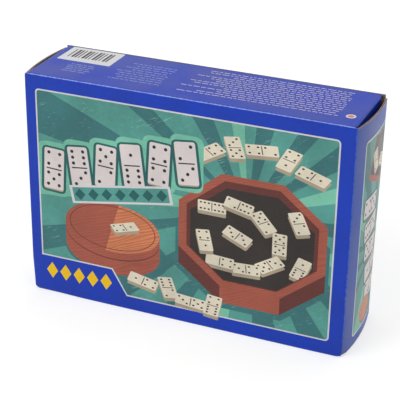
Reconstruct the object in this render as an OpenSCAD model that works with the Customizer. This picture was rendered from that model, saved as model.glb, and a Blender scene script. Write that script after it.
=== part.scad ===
// A folding carton that stands on its long narrow side. Its blank of thin corrugated board is folded
// into a tube, and each end closes with a bowed tuck flap over two dust flaps. Inside stands a hinged
// wooden case that holds a double-six set of dominoes in two layers.
// X runs along the carton, Y away from the front and Z up. The origin is the middle of the base.

/* [Dominoes] */
// Length of a domino
tile_l = 56; // [48:0.5:60]
// Width of a domino
tile_w = 28; // [24:0.5:30]
// Thickness of a domino
tile_t = 13; // [8:0.5:15]
// Rounding of a domino's upright edges
tile_r = 2; // [1:0.25:3]
// Highest number of pips on one half
top_pips = 6; // [6]
// Diameter of a pip
pip_d = 4; // [3:0.25:4.5]
// Distance between neighbouring pips
pip_pitch = 7; // [6:0.25:8]
// Depth of the pips and of the dividing groove
pip_depth = 0.6; // [0.3:0.1:1]
// Width of the dividing groove
groove_w = 1; // [0.6:0.1:2]
// Length of plain face at each end of the dividing groove
groove_end = 3; // [2:0.5:6]

/* [Wooden case] */
// Dominoes in a row
tiles_per_row = 7; // [7]
// Layers of dominoes
tile_layers = 2; // [2]
// Free length shared by the gaps along a row
row_play = 6; // [4:0.5:12]
// Free width beyond the two rows
rows_play = 6; // [3:0.5:12]
// Gap under each row as the case stands
tile_gap = 0.3; // [0.2:0.05:0.5]
// Thickness of the case's rails
rail_t = 10; // [8:0.5:14]
// Thickness of the base board
base_board_t = 4; // [3:0.5:6]
// Thickness of the lid boards
lid_board_t = 4; // [3:0.5:6]
// Thickness of the linings
lining_t = 0.8; // [0.5:0.1:1.5]
// Rim of the base above the dominoes
base_rim = 1.2; // [0.6:0.1:4]
// Height of the lid
lid_h = 18; // [14:0.5:24]
// Share of the lid's length that the dark board takes
dark_share = 0.45; // [0.3:0.05:0.7]

/* [Case hardware] */
// Distance between the middles of the two hinges
hinge_spacing = 136; // [110:1:150]
// Length of a hinge
hinge_l = 25; // [20:1:32]
// Width of a hinge leaf on its rail
leaf_w = 8; // [7:0.5:8]
// Thickness of a hinge leaf
leaf_t = 0.9; // [0.7:0.1:1]
// Radius of a hinge barrel
barrel_r = 1.5; // [1.3:0.1:2]
// Radius of a hinge pin
hinge_pin_r = 0.65; // [0.5:0.05:0.8]
// Radial clearance of a hinge pin in its barrel
pin_clearance = 0.05; // [0.03:0.01:0.1]
// Gap between hinge pieces that pass each other
hinge_gap = 0.1; // [0.05:0.05:0.2]
// Shank diameter of the screws
screw_d = 1.8; // [1.4:0.1:2]
// Head diameter of the screws
screw_head_d = 3.4; // [2.8:0.1:3.8]
// Height of a screw head
screw_head_h = 0.9; // [0.7:0.1:0.9]
// Length of the screws
screw_l = 7; // [5:0.5:8]
// Distance between the two screws of a hinge leaf
leaf_screw_pitch = 16; // [12:0.5:18]
// Clearance round a screw
screw_clearance = 0.05; // [0.03:0.01:0.1]
// Distance of the latch pivot and of the latch stud from the seam of the case
latch_reach = 8; // [7:0.5:10]
// Width of the latch hook
hook_w = 6; // [5:0.5:8]
// Thickness of the latch hook
hook_t = 1; // [0.8:0.1:1.2]
// Thickness of the catch plate
catch_t = 0.8; // [0.6:0.1:1.2]
// Length of the catch plate
catch_l = 18; // [16:0.5:24]
// Width of the catch plate
catch_w = 8; // [7:0.5:10]
// Distance between the catch plate's screws
catch_screw_pitch = 12; // [11:0.5:14]
// Radius of the latch stud
stud_r = 1.2; // [1:0.1:1.5]
// Gap between the latch hook and what it passes
hook_gap = 0.2; // [0.1:0.05:0.4]

/* [Carton] */
// Thickness of the board
board_t = 1.2; // [0.8:0.1:1.5]
// Rounding of the outer creases
crease_r = 1.3; // [1:0.1:1.6]
// Gap inside a crease that moves
crease_gap = 0.1; // [0.05:0.05:0.2]
// Space between each end of the case and the end crease
end_space = 9; // [8:0.5:16]
// Space between the case's lid and the front panel
front_space = 7.6; // [4:0.2:16]
// Space between the case's bottom and the back panel
back_space = 5; // [5:0.2:12]
// Space over the case
top_space = 27.2; // [20:0.2:60]
// Gap between the case's hinge barrels and the bottom panel
seat_gap = 0.3; // [0.2:0.1:0.5]
// Width of the glued flap
glue_flap_w = 14; // [8:0.5:18]
// Distance of the glued flap from each end crease
glue_flap_setback = 20; // [18:0.5:40]
// Distance of the back panel's raw top edge under the top face
raw_edge_drop = 0.5; // [0.3:0.1:1]

/* [End flaps] */
// Outward bow of a closed end flap
flap_bow = 2.9; // [1.5:0.1:5]
// Distance that the free edge of a closed end flap stands out
flap_ajar = 1.1; // [0.5:0.1:2.5]
// Distance of an end flap's cut edges from the top and bottom faces
flap_inset = 1.6; // [1.2:0.1:3]
// Length of a tuck tab
tab_l = 15; // [10:0.5:16]
// Space between a tuck tab's crease and the back panel
tab_space = 1.2; // [1:0.1:2]
// Inward lean of a tucked tab
tab_lean = 7; // [6:0.5:9]
// Distance of a tab's cut edges from the end flap's cut edges
tab_inset = 1; // [0.5:0.1:3]
// Taper of a tab's cut edges over its length
tab_taper = 5; // [2:0.5:9]
// Rounding of the tab and dust flap corners
cut_corner_r = 4; // [2:0.5:6]
// Length of a dust flap
dust_l = 40; // [30:1:46]
// Distance of a dust flap's crease from the end crease
dust_setin = 1.5; // [1.5:0.1:2.5]
// Gap between a dust flap and the front panel at its crease
dust_front_gap = 2; // [2:0.25:5]
// Lean of a dust flap's front edge, in width lost for each unit of length
dust_taper = 0.7; // [0.7:0.02:0.8]
// Gap between a dust flap and the tip of a tucked tab
dust_tab_gap = 1; // [1:0.1:3]

/* [Hidden] */
overshoot = 0.1;
arc_steps = 5;
bow_steps = 24;
$fn = 32;

board_colour = [0.17, 0.28, 0.72];
raw_board_colour = [0.60, 0.52, 0.44];
rail_colour = [0.50, 0.22, 0.17];
dark_wood_colour = [0.42, 0.22, 0.15];
light_wood_colour = [0.85, 0.58, 0.38];
lining_colour = [0.10, 0.09, 0.09];
metal_colour = [0.72, 0.71, 0.68];
tile_colour = [0.92, 0.88, 0.78];

row_gap = row_play / (tiles_per_row + 1);
case_inner_l = tiles_per_row * tile_w + row_play;
case_inner_w = 2 * tile_l + rows_play;
case_l = case_inner_l + 2 * rail_t;
case_w = case_inner_w + 2 * rail_t;
floor_z = base_board_t + lining_t;
base_h = floor_z + tile_layers * tile_t + base_rim;
case_h = base_h + lid_h;

barrel_y = -case_w / 2 - barrel_r - hinge_gap;
hinge_out = 2 * barrel_r + hinge_gap;
knuckle_l = (hinge_l - 2 * hinge_gap) / 3;
hook_lift = catch_t + hook_gap;

carton_l = case_l + 2 * end_space;
carton_d = case_h + front_space + back_space + 2 * board_t;
carton_h = case_w + hinge_out + seat_gap + top_space + 2 * board_t;
case_y = carton_d / 2 - board_t - back_space;
case_z = board_t + seat_gap + hinge_out + case_w / 2;

// The outer skin of a crease turns about a line this far inside the sharp corner, on both faces.
crease_in = crease_r * (1 - cos(45));

// The closed end flap in plan, as [distance from the front face, distance outside the end crease]
flap_hinge = [crease_in, -crease_in];
flap_fold = [carton_d - board_t - tab_space, flap_ajar];
flap_chord = norm(flap_fold - flap_hinge);
flap_dir = (flap_fold - flap_hinge) / flap_chord;
flap_normal = [-flap_dir.y, flap_dir.x];
flap_r = pow(flap_chord, 2) / (8 * flap_bow) + flap_bow / 2;
flap_centre = (flap_hinge + flap_fold) / 2 - flap_normal * (flap_r - flap_bow);
flap_half_angle = asin(flap_chord / 2 / flap_r);
flap_mid_angle = atan2(flap_normal.y, flap_normal.x);
crease_gap_angle = crease_gap / flap_r * 180 / PI;
hinge_angle = flap_mid_angle + flap_half_angle - crease_gap_angle;
fold_angle = flap_mid_angle - flap_half_angle;
flap_start = flap_centre + flap_r * [cos(hinge_angle), sin(hinge_angle)];

tab_dir = [-sin(tab_lean), -cos(tab_lean)];
tab_inward = [-cos(tab_lean), sin(tab_lean)];
fold_tangent = [-sin(fold_angle), cos(fold_angle)];
fold_mitre = (fold_tangent + tab_dir) / norm(fold_tangent + tab_dir);
tab_tip = flap_fold + tab_dir * tab_l;

dust_front = board_t + dust_front_gap;
dust_back = tab_tip.x - board_t - dust_tab_gap;

all_tiles = [for (a = [top_pips:-1:0], b = [a:-1:0]) [a, b]];

function tile_name(t) = str("domino_", t[0], "_", t[1]);

function arc_points(c, r, from, to, steps = arc_steps) =
    [for (i = [0:steps]) let (a = from + (to - from) * i / steps) c + r * [cos(a), sin(a)]];

// Where a line from a point just outside a circle first meets it
function line_to_circle(p, dir, c, r) =
    let (w = p - c, along = w * dir) p - dir * (along + sqrt(along * along - w * w + r * r));

function angle_of(p, c) = atan2(p.y - c.y, p.x - c.x);

// One end of a board's section: a mitred crease with half of its outer rounding, or a square cut.
function section_end(creased) =
    creased
    ? concat([[board_t, -board_t]], arc_points([crease_r, -crease_r], crease_r, 135, 90))
    : [[0, -board_t], [0, 0]];

function mirrored_x(points, width) = [for (i = [len(points) - 1:-1:0]) [width - points[i].x, points[i].y]];

// The section across a flat board, its outer face on the x axis.
function board_section(width, creased_start, creased_end) =
    concat(section_end(creased_start), mirrored_x(section_end(creased_end), width));

// A board that lies under z = 0, from the origin to [size.x, size.y]. The flags say which of its
// edges are creases: the two across x, then the two across y.
module board(size, creased) {
    intersection() {
        translate([0, size.y, 0]) rotate([90, 0, 0])
            linear_extrude(size.y) polygon(board_section(size.x, creased[0], creased[1]));
        rotate([90, 0, 90])
            linear_extrude(size.x) polygon(board_section(size.y, creased[2], creased[3]));
    }
}

module rounded_plate(l, w, h, r) {
    linear_extrude(h) union() {
        square([l - 2 * r, w], center = true);
        square([l, w - 2 * r], center = true);
        for (x = [-1, 1], y = [-1, 1]) translate([x * (l / 2 - r), y * (w / 2 - r)]) circle(r);
    }
}

// The tube of the carton

module front_panel() {
    color(board_colour) translate([-carton_l / 2, -carton_d / 2, 0]) rotate([90, 0, 0])
        board([carton_l, carton_h], [true, true, true, true]);
}

module back_panel() {
    color(board_colour) translate([carton_l / 2, carton_d / 2, 0]) rotate([90, 0, 180])
        board([carton_l, carton_h - raw_edge_drop], [false, false, true, false]);
}

module bottom_panel() {
    color(board_colour) translate([-carton_l / 2 + dust_setin, carton_d / 2, 0]) rotate([180, 0, 0])
        board([carton_l - 2 * dust_setin, carton_d], [true, true, true, true]);
}

module top_panel() {
    color(board_colour) translate([-carton_l / 2 + dust_setin, -carton_d / 2, carton_h])
        board([carton_l - 2 * dust_setin, carton_d - board_t], [true, true, true, true]);
}

// The glued flap hangs from the top panel, inside the back panel.
module glue_flap() {
    half = carton_l / 2 - glue_flap_setback;
    outline = [[-half, 0], [half, 0], [half - glue_flap_w / 2, -glue_flap_w], [-half + glue_flap_w / 2, -glue_flap_w]];
    color(raw_board_colour) translate([0, carton_d / 2 - board_t, carton_h]) intersection() {
        rotate([90, 0, 180]) translate([-half, -glue_flap_w, 0])
            board([2 * half, glue_flap_w], [false, false, false, true]);
        translate([0, overshoot, 0]) rotate([90, 0, 0]) linear_extrude(board_t + 2 * overshoot) polygon(outline);
    }
}

// The flaps of the right end

module end_flap() {
    inner_start = line_to_circle(flap_start, [1, -1] / sqrt(2), flap_centre, flap_r - board_t);
    inner_fold = line_to_circle(flap_fold, fold_mitre, flap_centre, flap_r - board_t);
    outer = arc_points(flap_centre, flap_r, hinge_angle, fold_angle, bow_steps);
    inner_from = angle_of(inner_fold, flap_centre);
    inner_to = angle_of(inner_start, flap_centre);
    inner = arc_points(flap_centre, flap_r - board_t, inner_from, inner_to, bow_steps);
    color(board_colour) translate([carton_l / 2, -carton_d / 2, flap_inset])
        linear_extrude(carton_h - 2 * flap_inset) polygon([for (p = concat(outer, inner)) [p.y, p.x]]);
}

module tuck_tab() {
    outer_root = flap_fold + tab_dir * crease_gap;
    inner_root = outer_root + fold_mitre * (board_t / (fold_mitre * tab_inward));
    section = [outer_root, tab_tip, tab_tip + tab_inward * board_t, inner_root];
    root_x = flap_fold.y + overshoot;
    tip_x = tab_tip.y - overshoot;
    low = flap_inset + tab_inset;
    tip_low = low + tab_taper;
    corner_low = arc_points([tab_tip.y + cut_corner_r, tip_low + cut_corner_r], cut_corner_r, 180, 270);
    corner_high = [for (i = [len(corner_low) - 1:-1:0]) [corner_low[i].x, carton_h - corner_low[i].y]];
    outline = concat(corner_low, [[root_x, low], [root_x, carton_h - low]], corner_high);
    color(board_colour) translate([carton_l / 2, -carton_d / 2, 0]) intersection() {
        linear_extrude(carton_h) polygon([for (p = section) [p.y, p.x]]);
        translate([0, carton_d, 0]) rotate([90, 0, 0]) linear_extrude(carton_d) polygon(outline);
    }
}

// A dust flap that hangs from the top panel's end, its crease across y
module dust_flap() {
    tip_front = dust_front + dust_taper * dust_l;
    corner_front = arc_points([dust_l - cut_corner_r, tip_front + cut_corner_r], cut_corner_r, -45, 0);
    corner_back = arc_points([dust_l - cut_corner_r, dust_back - cut_corner_r], cut_corner_r, 0, 90);
    outline = concat([[0, dust_front]], corner_front, corner_back, [[0, dust_back]]);
    color(board_colour) translate([carton_l / 2 - dust_setin, -carton_d / 2, carton_h]) rotate([0, 90, 0])
        intersection() {
            translate([crease_gap, 0, 0]) board([dust_l, carton_d], [true, false, false, false]);
            translate([0, 0, -board_t - overshoot]) linear_extrude(board_t + 2 * overshoot) polygon(outline);
        }
}

module upside_down() {
    translate([0, 0, carton_h]) mirror([0, 0, 1]) children();
}

module left_end() {
    mirror([1, 0, 0]) children();
}

// The wooden case is drawn lying flat, its lid up, with the hinges along its low y edge. It stands
// in the carton on its hinge barrels, its lid to the front.
module in_carton() {
    translate([0, case_y, case_z]) rotate([90, 0, 0]) children();
}

// A rail's length with mitred ends, its outer face at y = 0 and its inner face at y = rail_t
module mitred_rail(l, h) {
    linear_extrude(h) polygon([[-l / 2, 0], [l / 2, 0], [l / 2 - rail_t, rail_t], [-l / 2 + rail_t, rail_t]]);
}

module hinge_side_rail(h) {
    translate([0, -case_w / 2, 0]) mitred_rail(case_l, h);
}

module right_rail(h) {
    translate([case_l / 2, 0, 0]) rotate([0, 0, 90]) mitred_rail(case_w, h);
}

module at_hinges() {
    for (side = [-1, 1]) translate([side * hinge_spacing / 2, 0, base_h]) children();
}

// The cut for a hinge leaf that lies at z = 0 and reaches down, open at the rail's back face
module leaf_recess() {
    translate([-hinge_l / 2 - hinge_gap, -case_w / 2 - overshoot, -leaf_t - hinge_gap / 2])
        cube([hinge_l + 2 * hinge_gap, leaf_w + hinge_gap + overshoot, leaf_t + hinge_gap]);
}

// A countersunk screw that points down, its flat head at z = 0
module countersunk_screw(clearance = 0) {
    shank_r = screw_d / 2 + clearance;
    head_r = screw_head_d / 2 + clearance;
    rotate_extrude() polygon([[0, 0], [head_r, 0], [shank_r, -screw_head_h], [shank_r, -screw_l - clearance],
        [0, -screw_l - clearance]]);
}

module leaf_screws(clearance = 0) {
    for (side = [-1, 1])
        translate([side * leaf_screw_pitch / 2, (-case_w + leaf_w) / 2, -hinge_gap / 2])
            countersunk_screw(clearance);
}

module catch_screws(clearance = 0) {
    for (side = [-1, 1])
        translate([side * catch_screw_pitch / 2, case_w / 2 + catch_t, base_h - latch_reach])
            rotate([-90, 0, 0]) countersunk_screw(clearance);
}

// A pan head outside the hook, with its shank through the hook into the lid's rail
module pivot_screw(clearance = 0) {
    translate([0, case_w / 2 + hook_lift + hook_t, base_h + latch_reach]) rotate([-90, 0, 0]) {
        translate([0, 0, -screw_l]) cylinder(r = screw_d / 2 + clearance, h = screw_l);
        if (clearance == 0) cylinder(d = screw_head_d, h = screw_head_h);
    }
}

module base_board() {
    color(light_wood_colour) in_carton() translate([-case_inner_l / 2, -case_inner_w / 2, 0])
        cube([case_inner_l, case_inner_w, base_board_t]);
}

module tray_lining() {
    color(lining_colour) in_carton() translate([-case_inner_l / 2, -case_inner_w / 2, base_board_t])
        cube([case_inner_l, case_inner_w, lining_t]);
}

module base_latch_rail() {
    color(rail_colour) in_carton() difference() {
        rotate([0, 0, 180]) hinge_side_rail(base_h);
        catch_screws(screw_clearance);
    }
}

module base_hinge_rail() {
    color(rail_colour) in_carton() difference() {
        hinge_side_rail(base_h);
        at_hinges() {
            leaf_recess();
            leaf_screws(screw_clearance);
        }
    }
}

module base_right_rail() {
    color(rail_colour) in_carton() right_rail(base_h);
}

module base_left_rail() {
    color(rail_colour) in_carton() rotate([0, 0, 180]) right_rail(base_h);
}

module lid_latch_rail() {
    color(rail_colour) in_carton() difference() {
        translate([0, 0, base_h]) rotate([0, 0, 180]) hinge_side_rail(lid_h);
        pivot_screw(screw_clearance);
    }
}

module lid_hinge_rail() {
    color(rail_colour) in_carton() difference() {
        translate([0, 0, base_h]) hinge_side_rail(lid_h);
        at_hinges() mirror([0, 0, 1]) {
            leaf_recess();
            leaf_screws(screw_clearance);
        }
    }
}

module lid_right_rail() {
    color(rail_colour) in_carton() translate([0, 0, base_h]) right_rail(lid_h);
}

module lid_left_rail() {
    color(rail_colour) in_carton() translate([0, 0, base_h]) rotate([0, 0, 180]) right_rail(lid_h);
}

module lid_dark_board() {
    color(dark_wood_colour) in_carton() translate([-case_inner_l / 2, -case_inner_w / 2, case_h - lid_board_t])
        cube([case_inner_l * dark_share, case_inner_w, lid_board_t]);
}

module lid_light_board() {
    light_l = case_inner_l * (1 - dark_share);
    color(light_wood_colour) in_carton()
        translate([case_inner_l / 2 - light_l, -case_inner_w / 2, case_h - lid_board_t])
            cube([light_l, case_inner_w, lid_board_t]);
}

module lid_lining() {
    color(lining_colour) in_carton()
        translate([-case_inner_l / 2, -case_inner_w / 2, case_h - lid_board_t - lining_t])
            cube([case_inner_l, case_inner_w, lining_t]);
}

// A hinge leaf under z = 0 with barrel knuckles centred at the given places along x
module hinge_leaf(knuckles) {
    reach = -case_w / 2 - barrel_y;
    difference() {
        union() {
            translate([-hinge_l / 2, -case_w / 2, -leaf_t - hinge_gap / 2]) cube([hinge_l, leaf_w, leaf_t]);
            for (x = knuckles) {
                translate([x - knuckle_l / 2, barrel_y, -leaf_t - hinge_gap / 2])
                    cube([knuckle_l, reach + overshoot, leaf_t]);
                translate([x - knuckle_l / 2, barrel_y, 0]) rotate([0, 90, 0]) cylinder(r = barrel_r, h = knuckle_l);
            }
        }
        translate([-hinge_l / 2 - overshoot, barrel_y, 0]) rotate([0, 90, 0])
            cylinder(r = hinge_pin_r + pin_clearance, h = hinge_l + 2 * overshoot);
        leaf_screws(screw_clearance);
    }
}

module hinge_base_leaves() {
    outer = (hinge_l - knuckle_l) / 2;
    color(metal_colour) in_carton() at_hinges() hinge_leaf([-outer, outer]);
}

module hinge_lid_leaves() {
    color(metal_colour) in_carton() at_hinges() mirror([0, 0, 1]) hinge_leaf([0]);
}

module hinge_pins() {
    color(metal_colour) in_carton() at_hinges()
        translate([-hinge_l / 2, barrel_y, 0]) rotate([0, 90, 0]) cylinder(r = hinge_pin_r, h = hinge_l);
}

// The hook hangs on its pivot screw and holds the stud in a notch that opens to one side.
module latch_hook() {
    notch_r = stud_r + hook_gap;
    color(metal_colour) in_carton() translate([0, case_w / 2, base_h]) difference() {
        union() {
            translate([0, hook_lift + hook_t, 0]) rotate([90, 0, 0]) linear_extrude(hook_t) union() {
                translate([0, latch_reach]) circle(d = hook_w);
                translate([-hook_w / 2, -latch_reach]) square([hook_w, 2 * latch_reach]);
                translate([0, -latch_reach]) circle(d = hook_w);
            }
            translate([0, 0, latch_reach]) rotate([-90, 0, 0]) cylinder(d = screw_head_d, h = hook_lift + hook_t);
        }
        translate([0, -overshoot, latch_reach]) rotate([-90, 0, 0])
            cylinder(r = screw_d / 2 + screw_clearance, h = hook_lift + hook_t + 2 * overshoot);
        translate([0, hook_lift - overshoot, -latch_reach]) rotate([-90, 0, 0])
            cylinder(r = notch_r, h = hook_t + 2 * overshoot);
        translate([0, hook_lift - overshoot, -latch_reach - notch_r])
            cube([hook_w, hook_t + 2 * overshoot, 2 * notch_r]);
    }
}

module latch_catch() {
    head_r = stud_r + hook_t;
    color(metal_colour) in_carton() difference() {
        translate([0, case_w / 2, base_h - latch_reach]) rotate([-90, 0, 0]) union() {
            rounded_plate(catch_l, catch_w, catch_t, hook_t);
            cylinder(r = stud_r, h = hook_lift + hook_t + 2 * hook_gap);
            translate([0, 0, hook_lift + hook_t + hook_gap]) cylinder(r = head_r, h = hook_t);
        }
        catch_screws(screw_clearance);
    }
}

module case_screws() {
    color(metal_colour) in_carton() {
        at_hinges() {
            leaf_screws();
            mirror([0, 0, 1]) leaf_screws();
        }
        catch_screws();
        pivot_screw();
    }
}

// The dominoes

// Where the pips of one half lie, in steps of the pip pitch
function pip_places(n) =
    n == 1 ? [[0, 0]] :
    n == 2 ? [[-1, -1], [1, 1]] :
    n == 3 ? [[-1, -1], [0, 0], [1, 1]] :
    n == 4 ? [for (x = [-1, 1], y = [-1, 1]) [x, y]] :
    n == 5 ? concat(pip_places(4), [[0, 0]]) :
    n == 6 ? [for (x = [-1, 1], y = [-1, 0, 1]) [x, y]] :
    [];

// A domino that lies face up, its halves along y
module domino(values) {
    difference() {
        rounded_plate(tile_w, tile_l, tile_t, tile_r);
        translate([-tile_w / 2 + groove_end, -groove_w / 2, tile_t - pip_depth])
            cube([tile_w - 2 * groove_end, groove_w, pip_depth + overshoot]);
        for (half = [0, 1], p = pip_places(values[half]))
            translate([p.x * pip_pitch, (2 * half - 1) * tile_l / 4 + p.y * pip_pitch, tile_t - pip_depth])
                cylinder(d = pip_d, h = pip_depth + overshoot);
    }
}

// Dominoes fill a layer row by row. Both rows have slid down against the hinge side.
module placed_domino(index) {
    column = index % tiles_per_row;
    row = floor(index / tiles_per_row) % 2;
    layer = floor(index / (2 * tiles_per_row));
    x = -case_inner_l / 2 + row_gap + tile_w / 2 + column * (tile_w + row_gap);
    y = -case_inner_w / 2 + tile_gap + tile_l / 2 + row * (tile_l + tile_gap);
    color(tile_colour) in_carton() translate([x, y, floor_z + layer * tile_t]) domino(all_tiles[index]);
}

front_panel();
back_panel();
top_panel();
bottom_panel();
glue_flap();
end_flap();  // right_end_flap
tuck_tab();  // right_tuck_tab
dust_flap();  // right_top_dust_flap
upside_down() dust_flap();  // right_bottom_dust_flap
left_end() end_flap();  // left_end_flap
left_end() tuck_tab();  // left_tuck_tab
left_end() dust_flap();  // left_top_dust_flap
left_end() upside_down() dust_flap();  // left_bottom_dust_flap
base_board();
tray_lining();
base_latch_rail();
base_hinge_rail();
base_right_rail();
base_left_rail();
lid_dark_board();
lid_light_board();
lid_lining();
lid_latch_rail();
lid_hinge_rail();
lid_right_rail();
lid_left_rail();
hinge_base_leaves();
hinge_lid_leaves();
hinge_pins();
latch_hook();
latch_catch();
case_screws();
for (i = [0:len(all_tiles) - 1])
    placed_domino(i);
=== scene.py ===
"""A printed folding carton that holds a hinged wooden case of dominoes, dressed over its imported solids.

Every piece is in metres in the row frame: X along the carton, Y away from its front, Z up. Sizes here
are written in millimetres and scaled by MM where a mesh is made, but for the floor and the lamps, which
are in metres.
"""
import logging
import math
import random
from collections.abc import Iterable, Sequence
from dataclasses import dataclass, field
from enum import Enum
from functools import cache

import bmesh
import bpy
from mathutils import Matrix, Vector
from mathutils.geometry import delaunay_2d_cdt


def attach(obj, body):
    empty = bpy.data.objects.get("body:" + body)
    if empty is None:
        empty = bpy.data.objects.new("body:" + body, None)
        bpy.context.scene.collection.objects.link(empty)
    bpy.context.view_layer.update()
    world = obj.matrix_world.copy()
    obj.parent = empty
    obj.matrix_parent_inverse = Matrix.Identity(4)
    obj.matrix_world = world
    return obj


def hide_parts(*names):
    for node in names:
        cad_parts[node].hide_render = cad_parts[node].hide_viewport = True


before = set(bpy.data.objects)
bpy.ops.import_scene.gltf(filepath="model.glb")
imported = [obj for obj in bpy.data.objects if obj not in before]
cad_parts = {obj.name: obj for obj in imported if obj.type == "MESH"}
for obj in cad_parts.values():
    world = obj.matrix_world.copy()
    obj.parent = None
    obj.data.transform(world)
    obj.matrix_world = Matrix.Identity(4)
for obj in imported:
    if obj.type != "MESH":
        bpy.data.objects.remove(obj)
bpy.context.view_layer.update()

LOG = logging.getLogger("domino_box")
MM = 0.001
CORNER_STEPS = 4
FLUTE_PITCH = 3.3
Point = tuple[float, float]
Colour = tuple[float, float, float]
Socket = bpy.types.NodeSocket
Tree = bpy.types.NodeTree
Material = bpy.types.Material
Mesh = bmesh.types.BMesh
Vert = bmesh.types.BMVert
Face = bmesh.types.BMFace


def linear(colour: Colour) -> tuple[float, float, float, float]:
    """Linear colour with full alpha of a display colour that is given from 0 to 255."""
    parts = [c / 255 for c in colour]
    curved = [c / 12.92 if c <= 0.04045 else ((c + 0.055) / 1.055) ** 2.4 for c in parts]
    return curved[0], curved[1], curved[2], 1.0


class Nodes:
    """Adds nodes to one node tree and links them."""

    def __init__(self, tree: Tree) -> None:
        """Takes the tree that the nodes go into."""
        self.tree = tree

    def link(self, value: Socket | float | Sequence[float], socket: Socket) -> None:
        """Links an output to an input socket, or sets a plain value on it.

        Args:
            value: the output socket or the plain value.
            socket: the input socket.
        """
        if isinstance(value, Socket):
            self.tree.links.new(value, socket)
        else:
            socket.default_value = value

    def add(self, kind: str, inputs: dict | None = None, **settings) -> bpy.types.Node:
        """Adds one node.

        Args:
            kind: the node's type, a shader node's without its first two words.
            inputs: a value or an output socket for each named or numbered input.
            settings: attributes of the node.

        Returns:
            The new node.
        """
        node = self.tree.nodes.new(kind if kind.startswith("NodeGroup") else f"ShaderNode{kind}")
        for name, value in settings.items():
            setattr(node, name, value)
        for key, value in (inputs or {}).items():
            self.link(value, node.inputs[key])
        return node

    def maths(self, operation: str, *values: Socket | float) -> Socket:
        """Result of one arithmetic operation on values or sockets."""
        return self.add("Math", dict(enumerate(values)), operation=operation).outputs[0]

    def vector(self, operation: str, *values: Socket | Sequence[float]) -> Socket:
        """Result of one vector operation on vectors or sockets."""
        return self.add("VectorMath", dict(enumerate(values)), operation=operation).outputs[0]

    def noise(self, place: Socket, scale: Socket | float, detail: float = 3.0,
              roughness: float = 0.5) -> Socket:
        """Value of a noise texture at a place given in millimetres."""
        inputs = {"Vector": place, "Scale": scale, "Detail": detail, "Roughness": roughness}
        return self.add("TexNoise", inputs).outputs["Fac"]

    def ramp(self, value: Socket, low: Socket | float, high: Socket | float) -> Socket:
        """Smooth step from 0 at low to 1 at high."""
        inputs = {"Value": value, "From Min": low, "From Max": high}
        return self.add("MapRange", inputs, interpolation_type="SMOOTHSTEP").outputs["Result"]

    def mix(self, factor: Socket, first: Socket | Sequence[float],
            second: Socket | Sequence[float]) -> Socket:
        """Colour between two colours."""
        return self.add("Mix", {0: factor, 6: first, 7: second}, data_type="RGBA").outputs[2]

    def turned(self, place: Socket, angle: float) -> Socket:
        """Place turned about Y by an angle in radians."""
        return self.add("VectorRotate", {"Vector": place, "Angle": angle}, rotation_type="Y_AXIS").outputs[0]

    def group(self, tree: Tree, **inputs: Socket | float | Sequence[float]) -> Sequence[Socket]:
        """Outputs of a shared node group, its inputs named with underscores for spaces."""
        named = {name.replace("_", " "): value for name, value in inputs.items()}
        return self.add("Group", named, node_tree=tree).outputs

    def place_mm(self) -> Socket:
        """Object coordinates in millimetres, which ride with the piece."""
        place = self.add("TexCoord").outputs["Object"]
        return self.add("VectorMath", {0: place, "Scale": 1 / MM}, operation="SCALE").outputs[0]


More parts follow.
